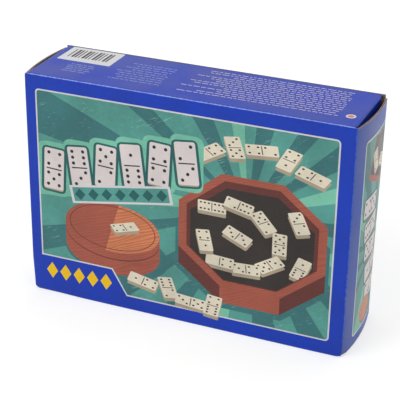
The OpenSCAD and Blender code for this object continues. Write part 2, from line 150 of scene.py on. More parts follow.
class Effects:
    """The node groups that several materials share, each built once on first use."""

    @staticmethod
    def start(name: str, inputs: dict[str, str], *outputs: str) -> tuple[Nodes, list[Socket], list[Socket]]:
        """Starts a node group.

        Args:
            name: the group's name.
            inputs: Vector or Float for the name of each input.
            outputs: names of the outputs, all of them values.

        Returns:
            Its node maker, what its inputs give and what its outputs take.
        """
        tree = bpy.data.node_groups.new(name, "ShaderNodeTree")
        for label, kind in inputs.items():
            tree.interface.new_socket(name=label, in_out="INPUT", socket_type=f"NodeSocket{kind}")
        for label in outputs:
            tree.interface.new_socket(name=label, in_out="OUTPUT", socket_type="NodeSocketFloat")
        nodes = Nodes(tree)
        given, result = nodes.add("NodeGroupInput"), nodes.add("NodeGroupOutput")
        return nodes, given.outputs[:len(inputs)], result.inputs[:len(outputs)]

    @staticmethod
    @cache
    def mottle() -> Tree:
        """Uneven ink or stain: a soft value round 0.5 from broad and fine noise.

        Returns:
            The group.
        """
        kinds = {"Place": "Vector", "Scale": "Float", "Fine Share": "Float"}
        nodes, (place, scale, share), (value,) = Effects.start("mottle", kinds, "Value")
        broad = nodes.noise(place, scale, 4.0)
        fine = nodes.noise(place, nodes.maths("MULTIPLY", scale, 14.0), 2.0)
        gap = nodes.maths("SUBTRACT", fine, broad)
        nodes.link(nodes.maths("MULTIPLY_ADD", gap, share, broad), value)
        return nodes.tree

    @staticmethod
    @cache
    def edge_wear() -> Tree:
        """Wear along the edges of a box: 1 on a worn edge, 0 away from it.

        Returns:
            The group.
        """
        kinds = {"Place": "Vector", "Low": "Vector", "High": "Vector", "Width": "Float", "Amount": "Float",
                 "Breaks": "Float"}
        nodes, given, (mask,) = Effects.start("edge_wear", kinds, "Mask")
        place, low, high, width, amount, breaks = given
        above, below = nodes.vector("SUBTRACT", place, low), nodes.vector("SUBTRACT", high, place)
        near = nodes.vector("MAXIMUM", nodes.vector("MINIMUM", above, below), (0.0, 0.0, 0.0))
        x, y, z = nodes.add("SeparateXYZ", {0: near}).outputs
        third = nodes.maths("MINIMUM", nodes.maths("MAXIMUM", x, y), z)
        second = nodes.maths("MAXIMUM", nodes.maths("MINIMUM", x, y), third)
        broken = nodes.ramp(nodes.noise(place, 0.35, 5.0, 0.7), 0.35, 0.75)
        uneven = nodes.maths("MULTIPLY_ADD", broken, breaks, nodes.maths("SUBTRACT", 1.0, breaks))
        reach = nodes.maths("ADD", nodes.maths("MULTIPLY", width, uneven), 0.02)
        closeness = nodes.maths("SUBTRACT", 1.0, nodes.maths("DIVIDE", second, reach))
        nodes.link(nodes.maths("MULTIPLY", nodes.ramp(closeness, 0.0, 0.8), amount), mask)
        return nodes.tree

    @staticmethod
    @cache
    def scratches() -> Tree:
        """Fine broken scratches that run one way: 1 in a scratch, 0 beside it.

        Returns:
            The group.
        """
        kinds = {"Place": "Vector", "Stretch": "Vector", "Rarity": "Float"}
        nodes, (place, stretch, rarity), (mask,) = Effects.start("scratches", kinds, "Mask")
        lines = nodes.noise(nodes.vector("MULTIPLY", place, stretch), 1.0, 4.0, 0.6)
        drawn = nodes.ramp(lines, rarity, nodes.maths("ADD", rarity, 0.06))
        patches = nodes.ramp(nodes.noise(place, 0.06, 2.0), 0.45, 0.65)
        nodes.link(nodes.maths("MULTIPLY", drawn, patches), mask)
        return nodes.tree

    @staticmethod
    @cache
    def flutes() -> Tree:
        """The faint ripple of a corrugated board's flutes under its liner.

        Returns:
            The group.
        """
        kinds = {"Along": "Float", "Pitch": "Float"}
        nodes, (along, pitch), (height,) = Effects.start("flutes", kinds, "Height")
        turns = nodes.maths("DIVIDE", along, pitch)
        nodes.link(nodes.maths("SINE", nodes.maths("MULTIPLY", turns, 2 * math.pi)), height)
        return nodes.tree

    @staticmethod
    @cache
    def fibres() -> Tree:
        """Matted fibres of bare board or felt.

        Returns:
            The group.
        """
        kinds = {"Place": "Vector", "Scale": "Float", "Stretch": "Vector"}
        nodes, (place, scale, stretch), (value,) = Effects.start("fibres", kinds, "Value")
        nodes.link(nodes.noise(nodes.vector("MULTIPLY", place, stretch), scale, 6.0, 0.75), value)
        return nodes.tree

    @staticmethod
    @cache
    def grain() -> Tree:
        """Wood grain: growth rings cut lengthwise, and fine pores.

        Returns:
            The group.
        """
        kinds = {"Place": "Vector", "Stretch": "Vector", "Ring Width": "Float", "Wander": "Float"}
        nodes, (place, stretch, width, wander), results = Effects.start("grain", kinds, "Rings", "Pores")
        drawn = nodes.vector("MULTIPLY", place, stretch)
        _, y, z = nodes.add("SeparateXYZ", {0: drawn}).outputs
        moved = nodes.maths("MULTIPLY_ADD", nodes.noise(drawn, 0.05, 3.0), wander, nodes.maths("ADD", y, z))
        saw = nodes.maths("FRACT", nodes.maths("DIVIDE", moved, width))
        rings = nodes.maths("MULTIPLY", nodes.ramp(saw, 0.0, 0.8), nodes.ramp(saw, 1.0, 0.9))
        nodes.link(rings, results[0])
        nodes.link(nodes.ramp(nodes.noise(drawn, 2.2, 3.0, 0.7), 0.55, 0.75), results[1])
        return nodes.tree


class Surface(Nodes):
    """One material while it is made, with the box whose edges it is worn along."""

    def __init__(self, name: str, plain: dict, low: Vector, high: Vector) -> None:
        """Starts the material.

        Args:
            name: the material's name.
            plain: values for the shader's own sockets.
            low: lowest corner of what wears together, in millimetres.
            high: its highest corner.
        """
        self.material = bpy.data.materials.new(name)
        self.material.use_nodes = True
        self.material.node_tree.nodes.clear()
        super().__init__(self.material.node_tree)
        self.shader = self.add("BsdfPrincipled", plain)
        self.add("OutputMaterial", {"Surface": self.shader.outputs[0]})
        self.place = self.place_mm()
        self.low, self.high = low, high

    def feed(self, name: str, value: Socket) -> None:
        """Links what changes over the surface to one of the shader's sockets."""
        self.link(value, self.shader.inputs[name])

    def bump(self, height: Socket, strength: float, depth: float) -> None:
        """Raises the surface, or cuts into it where the depth in millimetres is negative."""
        bump = self.add("Bump", {"Height": height, "Strength": strength, "Distance": depth * MM})
        self.feed("Normal", bump.outputs[0])

    def mottled(self, scale: float, fine: float) -> Socket:
        """Uneven value at a scale, with a share of fine noise."""
        return self.group(Effects.mottle(), Place=self.place, Scale=scale, Fine_Share=fine)[0]

    def fibrous(self, scale: float, stretch: Sequence[float]) -> Socket:
        """Value of matted fibres at a scale, stretched along the axes."""
        return self.group(Effects.fibres(), Place=self.place, Scale=scale, Stretch=stretch)[0]

    def scratched(self, place: Socket, stretch: Sequence[float], rarity: float) -> Socket:
        """Mask of scratches at a place, stretched along the axes."""
        return self.group(Effects.scratches(), Place=place, Stretch=stretch, Rarity=rarity)[0]

    def worn(self, width: float, amount: float) -> Socket:
        """Mask of the wear along the box's edges."""
        return self.group(Effects.edge_wear(), Place=self.place, Low=self.low, High=self.high, Width=width,
                          Amount=amount, Breaks=0.6)[0]


@dataclass(frozen=True)
class Finish:
    """What every finish has in common: a name, a colour and its plain surface values."""

    name: str
    colour: Colour
    roughness: float = 0.5
    specular: float = 0.5
    coat: float = 0.0
    coat_roughness: float = 0.2
    metallic: float = 0.0
    sheen: float = 0.0

    def build(self, low: Vector, high: Vector) -> Material:
        """Builds the material.

        Args:
            low: lowest corner of what wears together, in millimetres.
            high: its highest corner.

        Returns:
            The material.
        """
        plain = {"Base Color": linear(self.colour), "Roughness": self.roughness, "Metallic": self.metallic,
                 "Specular IOR Level": self.specular, "Coat Weight": self.coat,
                 "Coat Roughness": self.coat_roughness, "Sheen Weight": self.sheen}
        surface = Surface(self.name, plain, low, high)
        surface.material.diffuse_color = linear(self.colour)
        self.dress(surface)
        return surface.material

    def dress(self, surface: Surface) -> None:
        """Adds what changes over the surface, which each kind of finish does in its own way."""


@dataclass(frozen=True)
class InkFinish(Finish):
    """Ink printed on coated board, with its wear, its scratches, painted highlights along its edges and the
    flutes showing through.
    """

    roughness: float = 0.36
    specular: float = 0.3
    coat: float = 0.04
    mottle: float = 0.04
    grunge: float = 0.0
    scratch_colour: Colour = (170, 214, 204)
    grain: float = 0.0
    grain_colour: Colour = (150, 70, 45)
    grain_turn: float = 0.4
    # amount and colour of the edge wear, whose lighter blue also stands as a painted highlight along the
    # edges
    wear: float = 0.55
    wear_and_highlight_colour: Colour = (104, 140, 236)
    # colour of the painted highlight along the front top crease
    crease_highlight_colour: Colour = (170, 190, 246)
    flute_pitch: float = FLUTE_PITCH

    def dress(self, surface: Surface) -> None:
        """Makes the ink uneven, wears it at the edges in a lighter colour that is also a painted highlight,
        paints a highlight along the front top crease, and ripples it.

        Args:
            surface: the material being made.
        """
        place = surface.place
        shade = surface.ramp(surface.mottled(0.03, 0.2), 0.3, 0.7)
        dark = tuple(c * (1 - self.mottle) for c in self.colour)
        light = tuple(min(255.0, c * (1 + self.mottle) + 255 * self.mottle * 0.2) for c in self.colour)
        colour = surface.mix(shade, linear(dark), linear(light))
        if self.grain > 0:
            wood = surface.group(Effects.grain(), Place=surface.turned(place, self.grain_turn),
                                 Stretch=(0.18, 1.0, 1.0), Ring_Width=2.1, Wander=24.0)
            share = surface.maths("MULTIPLY", wood["Rings"], self.grain)
            colour = surface.mix(share, colour, linear(self.grain_colour))
        if self.grunge > 0:
            marks = surface.scratched(surface.turned(place, 0.5), (0.12, 0.5, 1.4), 0.6)
            share = surface.maths("MULTIPLY", marks, self.grunge)
            colour = surface.mix(share, colour, linear(self.scratch_colour))
        # edge wear mixed with a painted highlight: the edges turn a lighter blue
        worn = surface.worn(1.5, self.wear)
        colour = surface.mix(worn, colour, linear(self.wear_and_highlight_colour))
        # painted highlight: a lighter line along the front top crease, where the crease would catch the
        # light
        low, high = Vector((-1000.0, surface.low.y, -1000.0)), Vector((1000.0, 1000.0, surface.high.z))
        crease = surface.group(Effects.edge_wear(), Place=place, Low=low, High=high, Width=1.1, Amount=0.85,
                               Breaks=0.25)[0]
        surface.feed("Base Color", surface.mix(crease, colour, linear(self.crease_highlight_colour)))
        dull = surface.maths("ADD", shade, worn)
        surface.feed("Roughness", surface.maths("MULTIPLY_ADD", dull, 0.14, self.roughness - 0.07))
        along = surface.add("SeparateXYZ", {0: place}).outputs[0]
        ripple = surface.group(Effects.flutes(), Along=along, Pitch=self.flute_pitch)[0]
        surface.bump(surface.maths("MULTIPLY_ADD", surface.noise(place, 3.0), 0.35, ripple), 0.25, 0.02)


@dataclass(frozen=True)
class BoardFinish(Finish):
    """Bare board: grey-brown, matted and dull."""

    colour: Colour = (158, 138, 118)
    dark: Colour = (112, 94, 78)
    roughness: float = 0.9
    specular: float = 0.25

    def dress(self, surface: Surface) -> None:
        """Adds the board's fibres and blotches.

        Args:
            surface: the material being made.
        """
        fibres = surface.fibrous(1.1, (1.0, 1.0, 0.35))
        factor = surface.maths("MULTIPLY_ADD", surface.mottled(0.08, 0.3), 0.6, fibres)
        colour = surface.mix(surface.ramp(factor, 0.55, 1.05), linear(self.dark), linear(self.colour))
        surface.feed("Base Color", colour)
        surface.bump(fibres, 0.5, 0.08)


@dataclass(frozen=True)
class WoodFinish(Finish):
    """Stained and thinly lacquered wood with its grain along X, or turned about Y from there."""

    roughness: float = 0.45
    coat: float = 0.2
    dark: Colour = (104, 46, 38)
    worn: Colour = (196, 140, 108)
    ring_width: float = 2.4
    wander: float = 16.0
    turn: float = 0.0
    ring_share: float = 0.75

    def dress(self, surface: Surface) -> None:
        """Adds rings, pores, uneven stain and rubbed edges.

        Args:
            surface: the material being made.
        """
        place = surface.turned(surface.place, math.radians(self.turn))
        rings, pores = surface.group(Effects.grain(), Place=place, Stretch=(0.07, 1.0, 1.0),
                                     Ring_Width=self.ring_width, Wander=self.wander)
        stain = surface.maths("MULTIPLY_ADD", surface.mottled(0.03, 0.4), 0.8, 0.25)
        share = surface.maths("MULTIPLY", surface.maths("MULTIPLY", rings, stain), self.ring_share)
        share = surface.maths("MULTIPLY_ADD", pores, 0.3, share)
        colour = surface.mix(share, linear(self.colour), linear(self.dark))
        surface.feed("Base Color", surface.mix(surface.worn(1.4, 0.7), colour, linear(self.worn)))
        surface.feed("Roughness", surface.maths("MULTIPLY_ADD", pores, 0.25, self.roughness))
        surface.bump(surface.maths("MULTIPLY_ADD", rings, 0.3, pores), 0.4, -0.05)


@dataclass(frozen=True)
class FeltFinish(Finish):
    """Dense short felt with lint on it."""

    roughness: float = 1.0
    specular: float = 0.1
    sheen: float = 0.35
    lint: Colour = (92, 86, 84)

    def dress(self, surface: Surface) -> None:
        """Adds the nap and the lint.

        Args:
            surface: the material being made.
        """
        nap = surface.fibrous(2.6, (1.0, 1.0, 1.0))
        factor = surface.maths("MULTIPLY_ADD", surface.mottled(0.05, 0.3), 0.5, nap)
        colour = surface.mix(surface.ramp(factor, 0.62, 1.05), linear(self.colour), linear(self.lint))
        surface.feed("Base Color", colour)
        surface.bump(nap, 0.8, 0.15)


@dataclass(frozen=True)
class NickelFinish(Finish):
    """Stamped and nickelled steel, brushed along X, dulled in patches."""

    roughness: float = 0.3
    metallic: float = 1.0
    dull: Colour = (150, 142, 128)
    bright: Colour = (232, 228, 220)

    def dress(self, surface: Surface) -> None:
        """Adds brushing, dull patches and rubbed edges.

        Args:
            surface: the material being made.
        """
        brushed = surface.scratched(surface.place, (0.4, 9.0, 9.0), 0.5)
        patches = surface.mottled(0.3, 0.5)
        colour = surface.mix(surface.ramp(patches, 0.45, 0.7), linear(self.colour), linear(self.dull))
        surface.feed("Base Color", surface.mix(surface.worn(0.8, 0.6), colour, linear(self.bright)))
        uneven = surface.maths("ADD", brushed, patches)
        surface.feed("Roughness", surface.maths("MULTIPLY_ADD", uneven, 0.2, self.roughness - 0.1))
        surface.bump(brushed, 0.3, 0.02)


@dataclass(frozen=True)
class PlasticFinish(Finish):
    """Moulded plastic, cloudy below a polished skin with hairline scratches."""

    roughness: float = 0.22
    coat: float = 0.3
    cloud: Colour = (222, 210, 180)

    def dress(self, surface: Surface) -> None:
        """Adds the cloud, worn edges and hairline scratches.

        Args:
            surface: the material being made.
        """
        clouded = surface.ramp(surface.mottled(0.09, 0.2), 0.35, 0.75)
        colour = surface.mix(clouded, linear(self.colour), linear(self.cloud))
        surface.feed("Base Color", surface.mix(surface.worn(0.8, 0.5), colour, linear(self.cloud)))
        marks = surface.scratched(surface.place, (0.5, 2.0, 4.0), 0.58)
        surface.feed("Roughness", surface.maths("MULTIPLY_ADD", marks, 0.3, self.roughness))
        surface.bump(marks, 0.2, -0.02)


class Ink(Enum):
    """The inks of the print and the bare board that shows at its cuts; a few are darkened as painted shade,
    and the end's blue is greyed as a painted sheen.
    """

    BLUE = InkFinish("ink_blue", (0, 54, 179))
    # the blue of the top panel, darkened as painted shade to tone down the top's brighter light
    BLUE_TOP = InkFinish("ink_blue_top", (0, 48, 169), specular=0.18)
    # a near-black blue that stands as painted shade along the top panel's rear crease
    BLUE_FOLD = InkFinish("ink_blue_fold", (8, 26, 92), specular=0.06, wear=0.1)
    # the blue of the end flaps and tuck tabs, greyed and lightened as a painted sheen from grazing
    # reflection
    BLUE_END = InkFinish("ink_blue_end", (24, 66, 162))
    STRIPE = InkFinish("ink_stripe", (24, 24, 24), mottle=0.02)
    WHITE = InkFinish("ink_white", (214, 214, 216), mottle=0.02)
    FIELD_DARK = InkFinish("ink_field_dark", (54, 112, 114), mottle=0.06, grunge=0.5)
    FIELD_MID = InkFinish("ink_field_mid", (80, 150, 140), mottle=0.07, grunge=0.5)
    FIELD_LIGHT = InkFinish("ink_field_light", (116, 188, 162), mottle=0.07, grunge=0.4)
    DEEP_TEAL = InkFinish("ink_deep_teal", (26, 92, 92))
    CREAM = InkFinish("ink_cream", (222, 212, 210), mottle=0.03)
    IVORY = InkFinish("ink_ivory", (229, 219, 196), mottle=0.05)
    IVORY_SHADE = InkFinish("ink_ivory_shade", (172, 158, 134), mottle=0.05)
    PIP = InkFinish("ink_pip", (36, 38, 42), mottle=0.02)
    ORANGE_WOOD = InkFinish("ink_orange_wood", (218, 134, 92), grain=0.55, grain_colour=(166, 84, 52))
    RED_WOOD = InkFinish("ink_red_wood", (172, 90, 70), grain=0.32, grain_colour=(122, 58, 48))
    DARK_WOOD = InkFinish("ink_dark_wood", (104, 50, 44), grain=0.3, grain_colour=(66, 32, 30))
    MAT = InkFinish("ink_mat", (44, 37, 34), mottle=0.1)
    YELLOW = InkFinish("ink_yellow", (250, 202, 4), mottle=0.03)
    PALE_BLUE = InkFinish("ink_pale_blue", (150, 164, 214), mottle=0.03)
    LINER_EDGE = BoardFinish("liner_edge", (206, 190, 172), dark=(160, 142, 124))
    # a dark board edge that stands as painted shade on the back panel's top raw edge
    SOILED_EDGE = BoardFinish("soiled_edge", (72, 68, 84), dark=(40, 40, 60))
    KRAFT = BoardFinish("kraft_liner")
    MEDIUM = BoardFinish("fluted_medium", (190, 164, 138), dark=(134, 112, 92))


class Stuff(Enum):
    """What the case, its fittings and the dominoes are made of."""

    RAIL = WoodFinish("rail_wood", (158, 80, 62))
    SIDE_RAIL = WoodFinish("side_rail_wood", (158, 80, 62), turn=90.0)
    DARK_BOARD = WoodFinish("dark_lid_wood", (196, 108, 72), dark=(120, 52, 36), ring_width=6.0, wander=60.0,
                            turn=52.0)
    LIGHT_BOARD = WoodFinish("light_lid_wood", (222, 146, 104), dark=(186, 104, 70), ring_width=5.0,
                             wander=30.0, turn=-14.0, ring_share=0.5)
    BASE_BOARD = WoodFinish("base_board_wood", (196, 160, 118), dark=(150, 112, 78), ring_width=7.0,
                            wander=50.0, coat=0.0, roughness=0.7, ring_share=0.5)
    FELT = FeltFinish("lining_felt", (34, 31, 31))
    NICKEL = NickelFinish("nickel_fittings", (206, 202, 192))
    IVORY = PlasticFinish("ivory_plastic", (232, 222, 198))
    PIP_PAINT = PlasticFinish("pip_paint", (26, 26, 30), cloud=(48, 48, 54), roughness=0.35)


class Stock:
    """Makes each finish's material once, for the box of what wears together."""

    def __init__(self, low: Vector, high: Vector) -> None:
        """Takes the corners of that box in millimetres."""
        self.low, self.high = low, high
        self.made: dict[Enum, Material] = {}

    def material(self, choice: Enum) -> Material:
        """Material of one ink or stuff."""
        if choice not in self.made:
            self.made[choice] = choice.value.build(self.low, self.high)
        return self.made[choice]


@dataclass(frozen=True)
class Fold:
    """The course of a folded sheet in section, as stretches that run straight or turn evenly.

    The sheet's outer face is on the left of its heading. A turn to the right bends the sheet inward.
    """

    start: Point
    heading: float
    stretches: tuple[Point, ...]
    first: float = 0.0

    def at(self, place: float, depth: float) -> Point:
        """Where a spot of the sheet is.

        Args:
            place: distance along the outer face.
            depth: height over the outer face, negative inside the board.

        Returns:
            The spot in the plane of the section.
        """
        x, y = self.start
        heading = self.heading
        left = place - self.first
        for number, (length, turn) in enumerate(self.stretches):
            last = number == len(self.stretches) - 1
            run = left if last else min(left, length)
            angle = turn * run / length
            if abs(turn) > 1e-9:
                radius = length / turn
                x += radius * (math.sin(heading + angle) - math.sin(heading))
                y -= radius * (math.cos(heading + angle) - math.cos(heading))
            else:
                x += run * math.cos(heading)
                y += run * math.sin(heading)
            heading += angle
            left -= run
            if left <= 0 or last:
                break
        return x - depth * math.sin(heading), y + depth * math.cos(heading)

    @property
    def end(self) -> float:
        """Distance along the outer face at which the last stretch ends."""
        return self.first + sum(length for length, _ in self.stretches)


@dataclass(frozen=True)
class Crease:
    """Half of a folded edge: the sheet starts on the corner's diagonal and turns into its plane."""

    radius: float

    @property
    def inset(self) -> float:
        """How far inside the sharp corner the crease's skin lies, on both faces."""
        return self.radius * (1 - math.cos(math.pi / 4))

    @property
    def length(self) -> float:
        """Length of the half crease along its skin."""
        return self.radius * math.pi / 4

    def straight(self, width: float, start: bool, end: bool) -> Fold:
        """A flat sheet with or without half a crease at each end.

        Args:
            width: distance between the sharp corners.
            start: whether the sheet starts at a crease.
            end: whether it ends at one.

        Returns:
            The section, its places counted from the sharp corner along the flat face.
        """
        stretches: list[Point] = []
        lead = self.radius if start else 0.0
        tail = self.radius if end else 0.0
        if start:
            stretches.append((self.length, -math.pi / 4))
        stretches.append((width - lead - tail, 0.0))
        if end:
            stretches.append((self.length, -math.pi / 4))
        origin = (self.inset, -self.inset) if start else (0.0, 0.0)
        heading = math.pi / 4 if start else 0.0
        return Fold(origin, heading, tuple(stretches), lead - self.length if start else 0.0)


@dataclass(frozen=True)
class Shape:
    """One printed area: an outline in its sheet's own millimetres, its ink and the area that clips it."""

    outline: tuple[Point, ...]
    ink: Ink
    within: int = 0

    def inked(self, ink: Ink) -> "Shape":
        """The same area in another ink."""
        return Shape(self.outline, ink)


def arc(centre: Point, radius: float, start: float, end: float, steps: int) -> list[Point]:
    """Points on an arc from a start to an end angle in degrees."""
    angles = [math.radians(start + (end - start) * k / steps) for k in range(steps + 1)]
    return [(centre[0] + radius * math.cos(a), centre[1] + radius * math.sin(a)) for a in angles]


def rounded_box(low: Point, high: Point, radius: float, steps: int = CORNER_STEPS) -> list[Point]:
    """Outline of a box with round corners.

    Args:
        low: lower left corner.
        high: upper right corner.
        radius: radius of the corners.
        steps: facets in each corner.

    Returns:
        The outline, anticlockwise.
    """
    (left, right), (near, far) = ((low[k] + radius, high[k] - radius) for k in (0, 1))
    points = []
    for quarter, corner in enumerate(((right, far), (left, far), (left, near), (right, near))):
        points += arc(corner, radius, 90.0 * quarter, 90.0 * quarter + 90.0, steps)
    return points


def ellipse(centre: Point, wide: float, high: float, count: int = 24) -> list[Point]:
    """Outline of an ellipse with half axes wide and high."""
    angles = [2 * math.pi * i / count for i in range(count)]
    return [(centre[0] + wide * math.cos(a), centre[1] + high * math.sin(a)) for a in angles]


def pip_grid(value: int) -> list[tuple[int, int]]:
    """Places of a half's pips.

    Args:
        value: number of pips.

    Returns:
        Column and row of each pip, from -1 to 1.
    """
    places = [(0, 0)] if value % 2 else []
    for least, pair in ((2, [(-1, -1), (1, 1)]), (4, [(1, -1), (-1, 1)]), (6, [(-1, 0), (1, 0)])):
        places += pair if value >= least else []
    return places


class Picture:
    """A print in layers, drawn in the flat millimetres of one sheet, each layer over the ones before.

    An area clips what is drawn within it, and area 0 is the whole sheet.
    """

    def __init__(self, outline: Sequence[Point], ground: Ink) -> None:
        """Takes the sheet's outline and the ink that covers it."""
        self.shapes: list[Shape] = [Shape(tuple(outline), ground)]
        self.area = 0

    def draw(self, outline: Iterable[Point], ink: Ink, within: int = 0) -> int:
        """Draws one filled outline.

        Args:
            outline: its corners.
            ink: the ink that fills it.
            within: number of the area that clips it.

        Returns:
            The area's own number.
        """
        ring = tuple(outline)
        doubled = sum(a[0] * b[1] - b[0] * a[1] for a, b in zip(ring, ring[1:] + ring[:1]))
        self.shapes.append(Shape(ring if doubled > 0 else ring[::-1], ink, within))
        return len(self.shapes) - 1

    def box(self, low: Point, high: Point, ink: Ink, within: int = 0) -> None:
        """Draws a filled box from its lower left to its upper right corner."""
        self.draw((low, (high[0], low[1]), high, (low[0], high[1])), ink, within)

    def lozenge(self, centre: Point, wide: float, high: float, ink: Ink) -> None:
        """Draws a filled lozenge with half axes wide and high."""
        self.draw(ellipse(centre, wide, high, 4), ink)

    def frame(self, low: Point, high: Point, inner: Ink, line: float = 1.1, radius: float = 3.0) -> None:
        """Draws a white rounded outline, whose inside becomes the picture's area.

        Args:
            low: lower left corner, outside the line.
            high: upper right corner, outside the line.
            inner: ink inside the line.
            line: width of the line.
            radius: radius of the outer corners.
        """
        self.draw(rounded_box(low, high, radius), Ink.WHITE)
        inside = rounded_box((low[0] + line, low[1] + line), (high[0] - line, high[1] - line), radius - line)
        self.area = self.draw(inside, inner)

    def rays(self, centre: Point, seed: int, count: int) -> None:
        """Draws uneven rays that spread from one spot over the area.

        Args:
            centre: where the rays meet.
            seed: start of their random places and widths.
            count: number of rays.
        """
        chance = random.Random(seed)
        step, reach = 2 * math.pi / count, 300.0
        for number in range(count):
            start = number * step + chance.uniform(-0.05, 0.05)
            half = step * chance.uniform(0.16, 0.3)
            ink = (Ink.FIELD_DARK, Ink.FIELD_LIGHT, Ink.FIELD_DARK, Ink.FIELD_DARK)[number % 4]
            ends = [(centre[0] + reach * math.cos(a), centre[1] + reach * math.sin(a))
                    for a in (start - half, start + half)]
            self.draw([centre, *ends], ink, self.area)

    def tile(self, centre: Point, size: Point, turn: float, values: tuple[int, int], within: int = 0,
             face: Ink = Ink.IVORY, side: float = 2.6, outline: float = 0.0, squash: float = 1.0) -> None:
        """Draws one domino, seen a little from the front.

        Args:
            centre: middle of its face.
            size: width and length of its face.
            turn: its turn, anticlockwise, in degrees.
            values: pips of its lower and its upper half.
            within: number of the area that clips it.
            face: ink of its face.
            side: how much of its side shows below the face.
            outline: width of a dark line round it.
            squash: how much its height is foreshortened.
        """
        turned = Matrix.Rotation(math.radians(turn), 2)

        def spot(x: float, y: float, drop: float = 0.0) -> Point:
            """Turned and foreshortened spot of the face, moved down by drop."""
            across, up = turned @ Vector((x, y))
            return centre[0] + across, centre[1] + up * squash - drop

        def patch(grown: float, drop: float, ink: Ink) -> None:
            """Draws the rounded face outline, grown all round and moved down by drop."""
            x, y = wide + grown, high + grown
            ring = rounded_box((-x, -y), (x, y), corner + grown, 3)
            self.draw([spot(*place, drop) for place in ring], ink, within)

        wide, high = size[0] / 2, size[1] / 2
        corner, line = min(wide, high) * 0.2, 0.03 * high
        if outline > 0:
            patch(outline, side / 2, Ink.DEEP_TEAL)
        patch(0.0, side, Ink.IVORY_SHADE)
        patch(0.0, 0.0, face)
        bar = ((-wide * 0.78, -line), (wide * 0.78, -line), (wide * 0.78, line), (-wide * 0.78, line))
        self.draw([spot(x, y) for x, y in bar], Ink.PIP, within)
        for half, value in zip((-1, 1), values):
            for column, row in pip_grid(value):
                middle = spot(column * wide * 0.55, half * high / 2 + row * high * 0.28)
                self.draw(ellipse(middle, wide * 0.17, wide * 0.17 * squash, 8), Ink.PIP, within)

    def chain(self, centre: Point, reach: Point, sweep: Point, count: int, seed: int) -> None:
        """Draws small tiles that lie in a bent row in the area.

        Args:
            centre: middle of the bend.
            reach: half axes of the bend.
            sweep: first and last angle in degrees.
            count: number of tiles.
            seed: start of their random values.
        """
        chance = random.Random(seed)
        for number in range(count):
            angle = math.radians(sweep[0] + (sweep[1] - sweep[0]) * (number + 0.5) / count)
            spot = (centre[0] + reach[0] * math.cos(angle), centre[1] + reach[1] * math.sin(angle))
            turn = math.degrees(angle) + (90 if number % 2 else 12)
            values = (chance.randint(0, 6), chance.randint(0, 6))
            self.tile(spot, (11.6, 23.2), turn, values, self.area, squash=0.66)

    def tray(self, centre: Point, reach: float) -> None:
        """Draws an eight-sided wooden tray with a dark mat and tiles in play.

        Args:
            centre: middle of the tray.
            reach: half its width.
        """

        def ring(size: float, drop: float = 0.0) -> list[Point]:
            """Eight corners round the middle, moved down by drop."""
            corners = arc((0.0, 0.0), size, 22.5, 337.5, 7)
            return [(centre[0] + x, centre[1] + 0.8 * y - drop) for x, y in corners]

        bottom, top = ring(reach, 13.0), ring(reach)
        self.draw(ring(reach + 2.5, 15.5), Ink.FIELD_DARK, self.area)
        self.draw(bottom, Ink.DARK_WOOD, self.area)
        for number in range(8):
            after = (number + 1) % 8
            if top[after][0] - top[number][0] > 1.0:
                ink = Ink.RED_WOOD if number % 2 else Ink.DARK_WOOD
                self.draw((top[number], bottom[number], bottom[after], top[after]), ink, self.area)
        self.draw(top, Ink.RED_WOOD, self.area)
        self.draw(ring(reach - 6.5), Ink.DARK_WOOD, self.area)
        mat = self.draw(ring(reach - 7.5), Ink.DARK_WOOD, self.area)
        self.draw(ring(reach - 9.5, 3.0), Ink.MAT, mat)
        played = ((-29.0, 17.0, 90, (6, 6)), (-9.5, 21.5, 74, (6, 2)), (8.5, 12.5, 35, (2, 5)),
                  (20.5, -1.5, 0, (5, 5)), (14.0, -18.5, -52, (5, 3)), (-3.0, -25.5, -86, (3, 4)),
                  (-22.5, -23.5, 86, (4, 0)), (-34.0, -9.5, 10, (1, 4)), (33.5, 17.0, 20, (2, 3)),
                  (36.0, -17.0, -18, (6, 1)), (-10.0, -1.5, 60, (3, 3)))
        for x, y, turn, values in played:
            self.tile((centre[0] + x, centre[1] + y), (10.4, 20.8), turn, values, mat, squash=0.78)

    def round_box(self, centre: Point, reach: float) -> None:
        """Draws a round wooden box with a two-tone lid.

        Args:
            centre: middle of its lid.
            reach: radius of its lid.
        """
        high, tall, area = reach * 0.52, 18.0, self.area
        x, y = centre
        half = ((x - reach, y - 30), (x - 9, y - 30), (x + 9, y + 30), (x - reach, y + 30))
        self.draw(ellipse((x + 3, y - tall - 1.5), reach + 4, high + 1, 40), Ink.FIELD_DARK, area)
        self.draw(ellipse((x, y - tall), reach, high, 40), Ink.RED_WOOD, area)
        self.box((x - reach, y - tall), (x + reach, y), Ink.RED_WOOD, area)
        self.draw(ellipse((x, y - 6.2), reach, high, 40), Ink.DARK_WOOD, area)
        self.draw(ellipse((x, y - 5.4), reach, high, 40), Ink.RED_WOOD, area)
        lid = self.draw(ellipse(centre, reach, high, 40), Ink.ORANGE_WOOD, area)
        self.draw(half, Ink.RED_WOOD, lid)
        ring = self.draw(ellipse(centre, reach - 3.2, high - 1.9, 40), Ink.DARK_WOOD, lid)
        again = self.draw(ellipse(centre, reach - 3.8, high - 2.4, 40), Ink.ORANGE_WOOD, ring)
        self.draw(half, Ink.RED_WOOD, again)
        self.tile((x + 10, y + 2.5), (10.5, 21.0), -64, (4, 1), area, squash=0.6)

